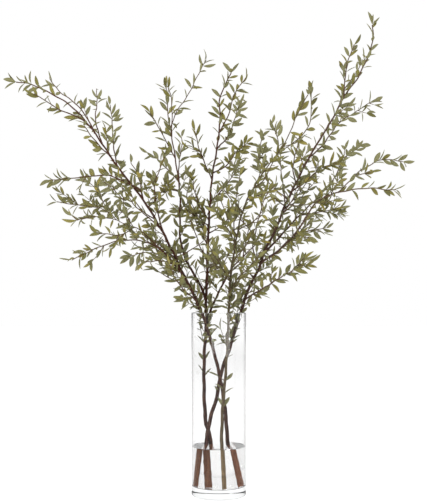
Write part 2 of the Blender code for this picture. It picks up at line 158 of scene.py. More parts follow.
def surround_light(tree, seen_from, ray, corners):
    """How bright the surround is in a direction. It is dimmed in front where a surface mirrors it,
    and by a share of that for light that was mirrored inside the glass on its way."""
    bent = maths(tree, "SUBTRACT", 1.0, ray["Is Transmission Ray"])
    last = maths(tree, "MULTIPLY", ray["Is Glossy Ray"], bent)
    once = maths(tree, "MINIMUM", ray["Glossy Depth"], 1.0)
    mirrored = maths(tree, "MAXIMUM", last, maths(tree, "MULTIPLY", INSIDE_MIRRORED, once))
    return add_node(tree, "ShaderNodeGroup", {"Toward": seen_from, "Mirrored": mirrored, "Corners": corners},
                    node_tree=shade)["Light"]


shade, asked, given = new_group("surround_shade", "ShaderNodeTree",
                                {"Toward": "Vector", "Mirrored": "Float", "Corners": "Float"},
                                {"Light": "Float"})
toward = add_node(shade, "ShaderNodeVectorMath", {0: asked["Toward"]}, operation="NORMALIZE")
split = add_node(shade, "ShaderNodeSeparateXYZ", {"Vector": toward["Vector"]})
crossed = maths(shade, "ABSOLUTE", maths(shade, "MULTIPLY", split["X"], split["Y"]))
darker = maths(shade, "MULTIPLY", ranged(shade, crossed, *CORNER_RANGE, easing="SMOOTHSTEP"),
               asked["Corners"])
front = ranged(shade, split["Y"], *FRONT_RANGE, 1.0 - FRONT_MIRRORED, 0.0, "SMOOTHSTEP")
dimmed = maths(shade, "SUBTRACT", 1.0, maths(shade, "MULTIPLY", asked["Mirrored"], front))
feed(shade, given, {"Light": maths(shade, "MULTIPLY", maths(shade, "SUBTRACT", 1.0, darker), dimmed)})


floor_mesh = bpy.data.meshes.new("floor")
shape = bmesh.new()
bmesh.ops.create_grid(shape, x_segments=1, y_segments=1, size=PAPER_SIZE)
bmesh.ops.translate(shape, verts=shape.verts, vec=(0, 0, -PAPER_DROP))
shape.to_mesh(floor_mesh)
shape.free()
floor = link_new("floor", floor_mesh)
paper, tree, shader = new_material("pale_paper", {"Roughness": 0.9, "Specular IOR Level": 0.1,
                                                  "Emission Strength": PAPER_GLOW})
place = add_node(tree, "ShaderNodeTexCoord", {})
ray = add_node(tree, "ShaderNodeLightPath", {})
# Painted shade: the floor's colour and glow are darker toward the corners and in front for light that reaches
# it through the glass or mirrored by it. The camera and diffuse light see it plain white. PAPER_GLOW makes it
# glow with painted light.
around = surround_light(tree, place["Object"], ray, PAPER_CORNER_SHADE)
direct = maths(tree, "MAXIMUM", ray["Is Camera Ray"], ray["Is Diffuse Ray"])
bright = maths(tree, "MAXIMUM", direct, maths(tree, "MULTIPLY", around, PAPER_THROUGH_GLASS))
white = maths(tree, "MULTIPLY", bright, PAPER_WHITE)
painted_paper_shade = add_node(tree, "ShaderNodeCombineColor", {"Red": white, "Green": white, "Blue": white})
feed(tree, shader, {"Base Color": painted_paper_shade["Color"], "Emission Color": painted_paper_shade["Color"]})
floor_mesh.materials.append(paper)

world = bpy.data.worlds.new("surround")
bpy.context.scene.world = world
world.use_nodes = True
tree = world.node_tree
seen = tree.nodes["Background"]
feed(tree, seen, {"Color": WHITE, "Strength": 1.0})
toward = add_node(tree, "ShaderNodeTexCoord", {})
ray = add_node(tree, "ShaderNodeLightPath", {})
around = surround_light(tree, toward["Generated"], ray, AIR_CORNERS)
through = maths(tree, "MULTIPLY_ADD", ray["Is Transmission Ray"], AIR_THROUGH_GLASS, 1.0)
lit = add_node(tree, "ShaderNodeBackground",
               {"Color": WHITE, "Strength": maths(tree, "MULTIPLY", around, through)})
either = add_node(tree, "ShaderNodeMixShader",
                  {0: ray["Is Camera Ray"], 1: lit[0], 2: seen.outputs[0]})
feed(tree, tree.nodes["World Output"], {"Surface": either[0]})

for name, place, aim, wide, high, power in LAMPS:
    data = bpy.data.lights.new(name, "AREA")
    strip = name.startswith("strip")
    data.shape = "RECTANGLE" if strip else "DISK"
    data.size = wide
    if strip:
        data.size_y = high
    data.energy = power
    lamp = link_new(name, data)
    lamp.location = place
    lamp.rotation_euler = (Vector(aim) - Vector(place)).to_track_quat("-Z", "Y").to_euler()
    lamp.visible_camera = False
    lamp.visible_diffuse = not strip
    lamp.visible_transmission = not strip

bpy.context.scene.view_settings.view_transform = "Standard"
bpy.context.scene.view_settings.look = "None"


# Vase: one straight cylinder of clear soda glass, drawn and fire polished at the rim, with a
# thick solid floor. It stands on its flat bottom.
VASE_RADIUS = 0.0762
VASE_HEIGHT = 0.508
WALL = 0.004
FLOOR = 0.0280
RIM_ROUNDING = 0.002
FOOT_ROUNDING = 0.0035
HEEL_ROUNDING = 0.0022
TURNED_SIDES = 144
MERGED_WITHIN = 0.00005
WAVE_STRETCH = 0.35
SHADOW_TINT = (0.96, 0.97, 0.97, 1)
GLASS_DEPTH = (0.80, 0.84, 0.86, 1)


def kept_solid(guide, name):
    """What a guide's modifier makes, kept as a plain mesh. The guide goes."""
    bpy.context.view_layer.update()
    mesh = bpy.data.meshes.new_from_object(guide.evaluated_get(bpy.context.evaluated_depsgraph_get()))
    guide.modifiers.clear()
    bpy.data.objects.remove(guide)
    return link_new(name, mesh)


def turned(name, profile, sharp_from):
    """A closed piece turned about Z from a profile that starts and ends on the axis."""
    outline = bpy.data.meshes.new(name + "_profile")
    outline.from_pydata([(across, 0, up) for across, up in profile],
                        [(i, i + 1) for i in range(len(profile) - 1)], [])
    guide = link_new(name + "_profile", outline)
    screw = guide.modifiers.new("turn", "SCREW")
    screw.steps = screw.render_steps = TURNED_SIDES
    screw.use_merge_vertices = True
    screw.merge_threshold = MERGED_WITHIN
    piece = kept_solid(guide, name)
    work = bmesh.new()
    work.from_mesh(piece.data)
    bmesh.ops.recalc_face_normals(work, faces=work.faces)
    work.to_mesh(piece.data)
    work.free()
    piece.data.shade_smooth()
    piece.data.set_sharp_from_angle(angle=math.radians(sharp_from))
    return piece


def rounded(centre_across, centre_up, radius, first, last, steps):
    """Points of an arc of the profile, its angles in degrees."""
    found = []
    for i in range(steps + 1):
        turn = math.radians(first + (last - first) * i / steps)
        found.append((centre_across + radius * math.cos(turn), centre_up + radius * math.sin(turn)))
    return found


def clear_material(name, ior, wave_scale, wave_depth, depth_colour, density):
    """A clear body that lets lamp light through, with the faint unevenness of its surface."""
    made, tree, shader = new_material(name, {"Base Color": WHITE, "Roughness": 0.0, "IOR": ior,
                                             "Transmission Weight": 1.0})
    place = add_node(tree, "ShaderNodeTexCoord", {})
    stretch = (wave_scale, wave_scale, wave_scale * WAVE_STRETCH)
    spread = add_node(tree, "ShaderNodeMapping", {"Vector": place["Object"], "Scale": stretch})
    uneven = add_node(tree, "ShaderNodeTexNoise", {"Vector": spread["Vector"], "Scale": 1.0})
    bump = add_node(tree, "ShaderNodeBump",
                    {"Height": uneven["Fac"], "Strength": 0.25, "Distance": wave_depth})
    feed(tree, shader, {"Normal": bump["Normal"]})
    through = add_node(tree, "ShaderNodeBsdfTransparent", {"Color": SHADOW_TINT})
    ray = add_node(tree, "ShaderNodeLightPath", {})
    either = add_node(tree, "ShaderNodeMixShader",
                      {0: ray["Is Shadow Ray"], 1: shader.outputs[0], 2: through[0]})
    body = add_node(tree, "ShaderNodeVolumeAbsorption", {"Color": depth_colour, "Density": density})
    feed(tree, tree.nodes["Material Output"], {"Surface": either[0], "Volume": body[0]})
    return made


inner = VASE_RADIUS - WALL
vase_profile = [(0, FLOOR), (inner * 0.5, FLOOR)]
vase_profile += rounded(inner - HEEL_ROUNDING, FLOOR + HEEL_ROUNDING, HEEL_ROUNDING, -90, 0, 4)
vase_profile += [(inner, VASE_HEIGHT * share) for share in (0.28, 0.5, 0.75)]
vase_profile += rounded(VASE_RADIUS - WALL / 2, VASE_HEIGHT - RIM_ROUNDING, RIM_ROUNDING, 180, 0, 12)
vase_profile += [(VASE_RADIUS, VASE_HEIGHT * share) for share in (0.75, 0.5, 0.25)]
vase_profile += rounded(VASE_RADIUS - FOOT_ROUNDING, FOOT_ROUNDING, FOOT_ROUNDING, 0, -90, 6)
vase_profile += [(0, 0)]
vase = turned("vase", vase_profile, sharp_from=40)
vase.data.materials.append(clear_material("clear_glass", ior=1.5, wave_scale=14.0, wave_depth=0.0006,
                                          depth_colour=GLASS_DEPTH, density=1.5))
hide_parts("vase_glass")
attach(vase, "root")


# Water: fills the lowest quarter of the vase. Its top is level and climbs a little where it
# meets the glass. It reaches just into the glass, so that no film of air shows between them.
WATER_TOP = 0.136
MENISCUS = 0.0014
MENISCUS_REACH = 0.0015
INTO_GLASS = 0.0004
WATER_DEPTH = (0.80, 0.795, 0.79, 1)
edge = inner + INTO_GLASS
water_profile = [(0, WATER_TOP), (inner * 0.6, WATER_TOP)]
water_profile += [(inner - away, WATER_TOP + MENISCUS * math.exp(-away / MENISCUS_REACH))
                  for away in (0.010, 0.006, 0.004, 0.0025, 0.0015, 0.0008, 0.0003)]
water_profile += [(edge, WATER_TOP + MENISCUS), (edge, FLOOR + 0.002), (edge - 0.002, FLOOR - INTO_GLASS),
                  (0, FLOOR - INTO_GLASS)]
water = turned("water_fill", water_profile, sharp_from=50)
water.data.materials.append(clear_material("clear_water", ior=1.333, wave_scale=30.0, wave_depth=0.0004,
                                           depth_colour=WATER_DEPTH, density=3.8))
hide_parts("water")
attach(water, "root")


# Branches: four cut eucalyptus stems stand in the water and lean on the glass. Each is drawn on
# a front view: one unit is 2.79 mm at the vase's axis, across goes right and down from the top.
STEMS = {
    # foot in mm, radius in mm at the foot, at the water and at the tip, and the points: across, down,
    # and mm behind the vase's axis
    "branch_right": ((-44, 18), (4.7, 5.9, 1.5), [
        (206.5, 440, 20), (208, 430, 20), (211, 415, 20), (216, 400, 20), (222, 370, 19), (231, 345, 17),
        (240, 315, 14), (248, 290, 8), (258, 270, 2), (266, 248, 0), (275, 231, -4), (284, 208, -8),
        (293, 189, -10), (306, 163, -8), (317, 144, 0), (333, 118, 10), (345, 95, 16), (357, 79, 22),
        (369, 54, 30), (373, 38, 36), (372.5, 25, 40)]),
    "branch_middle": ((-18, 32), (6.8, 6.0, 1.6), [
        (210.5, 440, 34), (208, 430, 34), (205.5, 420, 35), (204, 395, 37), (204, 358, 39), (206, 325, 42),
        (206, 300, 48), (207, 275, 56), (208, 245, 62), (209.5, 212, 68), (212, 178, 76), (217, 148, 86),
        (220, 120, 94), (220, 98, 102), (231, 73, 112)]),
    "branch_left": ((43, 16), (6.1, 5.7, 1.4), [
        (227.4, 440, 14), (226, 418, 11), (222, 388, 4), (216.5, 362, -4), (210, 338, -12),
        (203.5, 318, -18), (196, 300, -24), (189, 285, -30), (181, 270, -36), (173, 252, -42),
        (161, 229, -50), (146, 204, -56), (131, 184, -60), (117, 166, -62), (103, 145, -62), (88, 124, -60),
        (71, 106, -56), (50, 93, -50), (30, 84, -44), (16, 82, -40)]),
    "branch_centre": ((13, -30), (5.4, 4.9, 1.4), [
        (221.5, 440, -29), (222.5, 410, -27), (225, 380, -26), (227.5, 340, -29), (229, 300, -34),
        (230.5, 276, -48), (234, 252, -66), (240, 221, -92), (247, 200, -112), (257, 182, -128),
        (270, 163, -146), (279, 152, -160)]),
}
SHOOTS = {
    # name, what it grows on, the depth of its tip and its radius in mm, and its points
    "branch_right": [
        ("upper_right", "stem", 220, 2.8, [(264, 253), (276, 241), (296, 219), (316, 199), (333, 180),
            (342, 160), (345, 150)]),
        ("upper_right_fork", "upper_right", 260, 1.6, [(343, 158), (354, 151), (361, 145)]),
        ("long_right", "stem", -260, 3.0, [(262, 263), (279, 250), (298, 230), (314, 205), (328, 196),
            (345, 191), (370, 188), (384, 189.5), (396, 190)]),
        ("far_right", "long_right", -60, 2.0, [(338, 192.5), (349, 182), (358, 172.5), (371, 164.5),
            (383, 159.5), (403, 161.5)]),
        ("far_right_fork", "far_right", -190, 1.4, [(354, 177), (363, 174), (371, 172)]),
        ("low_right", "stem", -290, 2.2, [(246, 300), (256, 292.5), (268, 285.5), (281, 277), (292, 270.5),
            (304, 258)]),
        ("right_a", "long_right", 60, 1.7, [(293, 236), (307, 231), (326, 228)]),
        ("right_b", "long_right", -210, 1.5, [(297, 233), (303, 236), (309, 238)]),
        ("right_c", "upper_right", 10, 1.7, [(300, 216), (316, 213), (333, 209)]),
        ("inner_a", "stem", 190, 1.7, [(285, 205), (283.5, 187), (281, 170), (280.5, 154)]),
        ("inner_b", "stem", -110, 1.8, [(292, 191), (305, 182), (322, 168), (338, 163)]),
        ("top_a", "stem", 210, 1.9, [(312, 160), (322, 146), (332, 132), (341, 121), (354, 113),
            (369, 103)]),
        ("top_b", "stem", -80, 1.6, [(343, 97), (345, 81), (347, 64), (354, 45)]),
        ("top_c", "stem", 120, 1.6, [(338, 106), (344, 90), (354, 76), (365, 58)]),
        ("inner_c", "stem", -150, 1.8, [(255, 262), (253, 250), (256, 230), (261, 210), (266, 196),
            (275, 185)]),
        ("inner_d", "stem", -140, 1.7, [(297, 184), (293, 167), (297, 148), (299, 140)]),
        ("inner_e", "stem", 180, 1.4, [(304, 167), (301, 158), (299, 148)]),
    ],
    "branch_middle": [
        ("limb_left", "stem", 20, 4.2, [(206, 299), (198, 281), (187, 262), (180.5, 240), (180, 215),
            (180, 192), (177, 170), (174, 150), (170.5, 130), (167.5, 110), (167.5, 100), (166, 86)]),
        ("limb_left_a", "limb_left", -90, 1.6, [(172, 137), (172, 118), (171.5, 100), (168.5, 88)]),
        ("limb_left_b", "limb_left", 160, 1.9, [(172, 128), (177, 111), (188, 95), (198, 75), (206, 60)]),
        ("limb_left_c", "limb_left", -60, 1.7, [(175, 158), (168, 145), (159, 128), (150, 113)]),
        ("limb_left_d", "limb_left", 230, 1.6, [(179, 182), (179, 164), (182, 144), (181.5, 137)]),
        ("limb_left_e", "limb_left", 130, 1.6, [(178, 180), (168, 170), (156, 158), (148, 153)]),
        ("limb_left_f", "limb_left", -60, 1.5, [(180, 192), (168, 189), (157, 195)]),
        ("middle_a", "stem", 200, 2.0, [(207, 245), (199, 229), (193, 213), (187, 198), (190, 178)]),
        ("middle_b", "stem", -50, 1.7, [(208, 220), (200, 207), (195, 193), (193, 181)]),
        ("middle_c", "stem", -60, 1.7, [(206, 262), (199, 244), (194, 229), (190, 220)]),
        ("middle_d", "stem", -30, 1.7, [(212, 179), (206, 166), (199, 148), (195, 131)]),
        ("middle_e", "stem", 290, 1.8, [(217, 149), (228, 136), (235, 118), (240, 100)]),
        ("middle_f", "stem", 40, 1.7, [(221, 133), (228, 116), (235, 93), (246, 78)]),
        ("middle_g", "stem", -40, 1.7, [(213, 173), (226, 166), (236, 152), (246, 144)]),
        ("middle_h", "stem", 240, 1.7, [(212, 202), (222, 190), (234, 174), (240, 160)]),
        ("limb_back", "stem", 215, 3.4, [(205, 330), (208, 318), (215, 300), (223, 284), (232, 268),
            (243, 257), (255, 245), (268, 236), (276, 230)]),
        ("limb_back_a", "limb_back", 330, 1.7, [(223, 284), (222, 270), (218, 255), (216, 243)]),
        ("limb_back_b", "limb_back", 200, 1.7, [(243, 257), (246, 240), (251, 225), (262, 212)]),
    ],
    "branch_left": [
        ("left_arch", "stem", -190, 2.0, [(143, 199), (140, 190), (127, 183), (109, 175.5), (88, 176.5),
            (65, 179), (50, 180)]),
        ("left_a", "stem", 60, 1.6, [(143, 199), (140, 183), (136, 171), (131, 163)]),
        ("limb_low", "stem", -130, 3.6, [(185, 277), (171, 260), (155, 244), (140, 230), (131, 226)]),
        ("left_b", "limb_low", 130, 1.8, [(133, 226), (126, 213), (123, 197), (121, 166)]),
        ("left_c", "stem", -170, 1.6, [(161, 230), (148, 217), (137, 208), (130, 199)]),
        ("left_d", "left_b", 210, 1.4, [(124, 200), (115, 191), (103, 181)]),
        ("left_e", "stem", -170, 1.9, [(164, 236), (158, 214), (154.5, 188), (160, 168), (165, 157)]),
        ("left_f", "stem", 150, 1.7, [(117, 166), (113.5, 145), (112, 119), (110, 105)]),
        ("left_g", "stem", 190, 1.7, [(102, 143), (95.5, 120), (97, 103), (96.5, 89)]),
        ("left_h", "stem", -170, 1.6, [(109, 158), (97, 143), (84, 126)]),
        ("left_i", "stem", -180, 1.7, [(90, 126), (78, 117), (60, 110), (43, 99), (34, 94)]),
        ("left_j", "stem", 60, 1.7, [(95, 133), (87, 118), (76, 104), (59, 91), (50, 79)]),
        ("low_a", "limb_low", 60, 2.4, [(131, 229), (117, 220), (103, 202), (93, 186), (84, 178)]),
        ("low_b", "low_a", -290, 1.8, [(117, 220), (97, 216.5), (77, 220)]),
        ("low_c", "low_a", -140, 1.8, [(113, 214), (99, 208), (78, 205), (57, 202)]),
        ("low_d", "limb_low", -280, 1.7, [(133, 232), (120, 235), (107, 234), (97, 233)]),
        ("low_arch", "limb_low", -200, 2.1, [(160, 249), (146, 242), (131, 240), (116, 241.5), (97, 248),
            (72, 260)]),
        ("low_e", "limb_low", 190, 1.7, [(172, 259), (158, 254), (144, 252.5), (131, 256)]),
        ("low_f", "limb_low", -190, 1.5, [(175, 265), (162, 261), (145, 262)]),
        ("low_g", "stem", -150, 1.7, [(196, 301), (184, 290), (175, 278), (170, 265)]),
    ],
    "branch_centre": [
        ("centre_a", "stem", -110, 1.4, [(279, 152), (277, 136), (272, 124)]),
        ("centre_b", "stem", -300, 1.5, [(279, 152), (288, 137), (297, 115), (308, 95)]),
        ("centre_c", "stem", -200, 1.5, [(279, 152), (293, 143), (304, 133), (311, 118), (310.5, 92)]),
        ("centre_d", "stem", -60, 1.5, [(265, 169), (259, 158), (262, 138)]),
        ("centre_e", "stem", -210, 1.6, [(239, 230), (251, 223), (262, 215)]),
        ("centre_f", "stem", -190, 1.7, [(236, 243), (227, 228), (219, 214)]),
        ("centre_g", "stem", -40, 1.7, [(235, 247), (234, 224), (237, 193), (240, 176)]),
        ("centre_h", "stem", -250, 1.5, [(247, 200), (257, 196), (268, 192)]),
        ("centre_i", "stem", -240, 1.5, [(253, 188), (263, 181), (273, 162)]),
        ("centre_j", "stem", -170, 1.8, [(230, 290), (240, 276), (252, 264), (262, 250)]),
        ("centre_k", "stem", -230, 1.8, [(230, 280), (221, 266), (212, 252), (205, 236)]),
    ],
}
FILLERS = {"branch_right": 7, "branch_middle": 8, "branch_left": 7, "branch_centre": 6}
FILLER_HEIGHT = (0.545, 0.800)
FILLER_LENGTH = (0.070, 0.130)
FILLER_RADIUS = 0.0015
GAP = 0.0003
TWIG_TIP_RADIUS = 0.0010
STEM_STEP = 0.055
FINE_STEP = 0.009
CURVE_STEPS = 12
SEED = 11
UP = Vector((0, 0, 1))


def at(across, down, depth):
    """The place that the front view shows at (across, down), its depth behind the axis in metres."""
    scale = (EYE_DISTANCE + depth) / EYE_DISTANCE
    up = EYE_HEIGHT + (EYE_DOWN - down) * UNIT * scale
    return Vector(((across - AXIS_ACROSS) * UNIT * scale, depth, up))


def on_drawing(place):
    """Where the front view shows a place."""
    scale = (EYE_DISTANCE + place.y) / EYE_DISTANCE
    return Vector((AXIS_ACROSS + place.x / UNIT / scale, EYE_DOWN - (place.z - EYE_HEIGHT) / UNIT / scale))


def along_route(points):
    """How far along a route each of its points is."""
    along = [0.0]
    for a, b in zip(points, points[1:]):
        along.append(along[-1] + (b - a).length)
    return along


def on_route(points, along, reached):
    """The place at a distance along a route, and the route's direction there."""
    i = 0
    while i < len(points) - 2 and along[i + 1] < reached:
        i += 1
    share = (reached - along[i]) / max(along[i + 1] - along[i], 1e-9)
    return points[i].lerp(points[i + 1], min(1.0, share)), (points[i + 1] - points[i]).normalized()


def resample(points, step):
    """Points at even distances along the smooth curve through the given ones."""
    ends = [2 * points[0] - points[1]] + list(points) + [2 * points[-1] - points[-2]]
    fine = []
    for a, b, c, d in zip(ends, ends[1:], ends[2:], ends[3:]):
        for i in range(CURVE_STEPS):
            t = i / CURVE_STEPS
            fine.append(0.5 * (2 * b + (c - a) * t + (2 * a - 5 * b + 4 * c - d) * t * t
                               + (3 * b - a - 3 * c + d) * t ** 3))
    fine.append(points[-1].copy())
    along = along_route(fine)
    count = max(2, round(along[-1] / step))
    return [on_route(fine, along, along[-1] * i / count)[0] for i in range(count + 1)]


def radii_between(count, root, tip):
    """A taper that is a little quicker near the root."""
    return [root + (tip - root) * (i / (count - 1)) ** 0.8 for i in range(count)]


def stem_route(foot, radii, drawn, step):
    """The foot stands on the vase's floor, and the stem is straight up to just above the water."""
    upper = [at(across, down, depth / 1000) for across, down, depth in drawn]
    cut_end, at_water, tip = (radius / 1000 for radius in radii)
    foot = Vector((foot[0] / 1000, foot[1] / 1000, FLOOR))
    lean = (upper[0] - foot).normalized()
    foot.z = FLOOR + GAP + cut_end * math.sqrt(1 - lean.z ** 2)
    points = resample(upper, step)
    straight = max(1, round((points[0] - foot).length / step))
    lower = [foot.lerp(points[0], i / straight) for i in range(straight)]
    narrow = [cut_end + (at_water - cut_end) * i / straight for i in range(straight)]
    return lower + points, narrow + radii_between(len(points), at_water, tip)


def joint_on(parent, across, down):
    """The point of the parent's middle line nearest on the drawing, and the radius there."""
    points, radii = parent
    spot = Vector((across, down))
    found = []
    for i in range(len(points) - 1):
        a, b = on_drawing(points[i]), on_drawing(points[i + 1])
        t = max(0.0, min(1.0, (spot - a).dot(b - a) / max((b - a).length_squared, 1e-9)))
        found.append(((a.lerp(b, t) - spot).length, i, t))
    i, t = min(found)[1:]
    return points[i].lerp(points[i + 1], t), radii[i] + (radii[i + 1] - radii[i]) * t


def shoot_route(parent, tip_depth, radius, drawn):
    """A drawn shoot, which comes nearer or goes back evenly from its joint to its tip's depth."""
    root, room = joint_on(parent, *drawn[0])
    flat = [on_drawing(root)] + [Vector(point) for point in drawn[1:]]
    along = along_route(flat)
    places = [root]
    for spot, reached in zip(flat[1:], along[1:]):
        depth = root.y + (tip_depth - root.y) * (reached / along[-1]) ** 1.15
        places.append(at(spot.x, spot.y, depth))
    points = resample(places, FINE_STEP)
    return points, radii_between(len(points), min(radius, 0.85 * room), TWIG_TIP_RADIUS)


def filler_route(parent, chance):
    """A short shoot that leaves the stem to any side and rises."""
    points, radii = parent
    inside = [i for i, place in enumerate(points) if FILLER_HEIGHT[0] < place.z < FILLER_HEIGHT[1]]
    i = chance.choice(inside)
    root = points[i].lerp(points[i + 1], chance.random())
    turn = chance.uniform(0, 2 * math.pi)
    length = chance.uniform(*FILLER_LENGTH)
    side = Vector((math.cos(turn), math.sin(turn), 0.0))
    out = (side * chance.uniform(0.6, 0.9) + UP * chance.uniform(0.35, 0.8)).normalized()
    tip = root + out * length + UP * chance.uniform(-0.006, 0.02)
    made = resample([root, root + out * length * 0.5 - UP * 0.004, tip], FINE_STEP)
    return made, radii_between(len(made), min(FILLER_RADIUS, 0.8 * radii[i]), TWIG_TIP_RADIUS)


routes = {}
chance = random.Random(SEED)
for name, drawn_stem in STEMS.items():
    coarse = stem_route(*drawn_stem, STEM_STEP)
    routes[name] = {"stem": stem_route(*drawn_stem, FINE_STEP)}
    for shoot, parent, tip_depth, radius, drawn in SHOOTS[name]:
        routes[name][shoot] = shoot_route(routes[name][parent], tip_depth / 1000, radius / 1000, drawn)
    for i in range(FILLERS[name]):
        routes[name][f"filler_{i}"] = filler_route(coarse, chance)


# Leaf joints: the leaves stand in opposite pairs, each pair a quarter turn on from the last, and
# a cluster ends each twig. Short leafy sprigs grow in some of their axils and rise from the twig.
NODE_STEP = 0.0255
SPRIG_LENGTH = (0.024, 0.055)
SPRIG_RADIUS = 0.0011
SPRIG_TIP = 0.0007
SPRIG_STEP = 0.008
STEM_SPRIG = 1.35
SPRIG_OPEN = (30, 60)
SPRIG_OPEN_IN_VASE = (14, 34)
INNER_LEAF = (0.024, 0.037)
OUTER_LEAF = (0.026, 0.039)
DRAWN_LEAF = (0.032, 0.038)
LONGEST_LEAF = 0.042
TIP_LEAF = (0.027, 0.035)
SPRIG_LEAF = 0.92
END_LEAF = 0.030
# on the drawing: how far a leaf tip is from its joint, how near a drawn tip no other leaf may end,
# how near the twig's end a drawn tip takes the place of one in the cluster, and in degrees how far
# a drawn leaf opens at most, as a rule
LEAF_REACH = 11.5
LEAF_ROOM = 4.5
NEAR_END = 14
DRAWN_OPEN = 55
# heights: few leaves grow below the first, the low crown of each stem ends at the second, and
# sprigs are few above the third
LEAFY_FROM = 0.390
LEAFY_TO = 0.640
INNER_TO = 0.860
FIRST_PAIR = {"stem": 0.26, "shoot": 0.018, "sprig": 0.012}
LAST_PAIR = 0.008
SPACING = (0.85, 1.2)
SPRIG_SPACING = 0.62
TURN_SPREAD = 0.25
LEAF_ODDS = {"foot": 0.12, "crown": 0.75, "stem": 0.62, "stem end": 0.84, "drawn": 0.72, "twig": 0.84}
WHORL_ODDS = 0.75
SPRIG_ODDS = {"crown": 0.55, "stem": 0.48, "high stem": 0.10, "twig": 0.28, "high twig": 0.06}
LEAF_OPEN = (32, 72)
END_LEAF_OPEN = (24, 50)
CLUSTER_OPEN = (24, 42)
CLUSTER_FIRST_OPEN = (4, 14)
GLASS_ROOM = 0.004
SPRIG_GLASS_ROOM = 0.006
RIM_ROOM = 0.006
BARE_RADIUS = 0.0018
HIDING_SHARE = 0.66
CROWDING = (
    # where the front view shows more or fewer leaves: across, down, reach and how many times as many
    (230, 96, 20, 2.5), (170, 92, 10, 1.4), (110, 108, 10, 1.5), (334, 108, 18, 2.4), (250, 162, 17, 2.8),
    (269, 142, 12, 2.2), (350, 148, 14, 1.3), (328, 170, 18, 2.3), (95, 198, 26, 1.6), (66, 206, 14, 1.5),
    (228, 178, 14, 1.6), (186, 190, 12, 1.7), (170, 213, 13, 3.0), (208, 208, 15, 1.9), (268, 210, 12, 1.7),
    (330, 208, 16, 3.2), (290, 246, 17, 3.6), (128, 246, 12, 1.7), (85, 248, 10, 1.8), (184, 262, 14, 2.2),
    (264, 272, 14, 1.8), (208, 306, 16, 1.3), (232, 290, 10, 1.4), (126, 208, 9, 1.7), (210, 328, 12, 1.4),
    (222, 246, 14, 1.4), (78, 110, 22, 0.35), (102, 156, 16, 0.45), (166, 150, 22, 0.5),
    (190, 150, 10, 0.5), (144, 196, 18, 0.5), (190, 112, 10, 0.4), (346, 78, 14, 0.7), (306, 90, 14, 0.4),
    (304, 138, 20, 0.45), (268, 182, 16, 0.5), (350, 186, 12, 0.6), (208, 184, 14, 0.5),
    (250, 218, 15, 0.45), (306, 232, 12, 0.6), (106, 240, 12, 0.5), (150, 224, 12, 0.4),
    (190, 246, 12, 0.6), (206, 268, 14, 0.65), (146, 268, 14, 0.15), (328, 226, 10, 0.5),
    (48, 194, 14, 0.35),
)
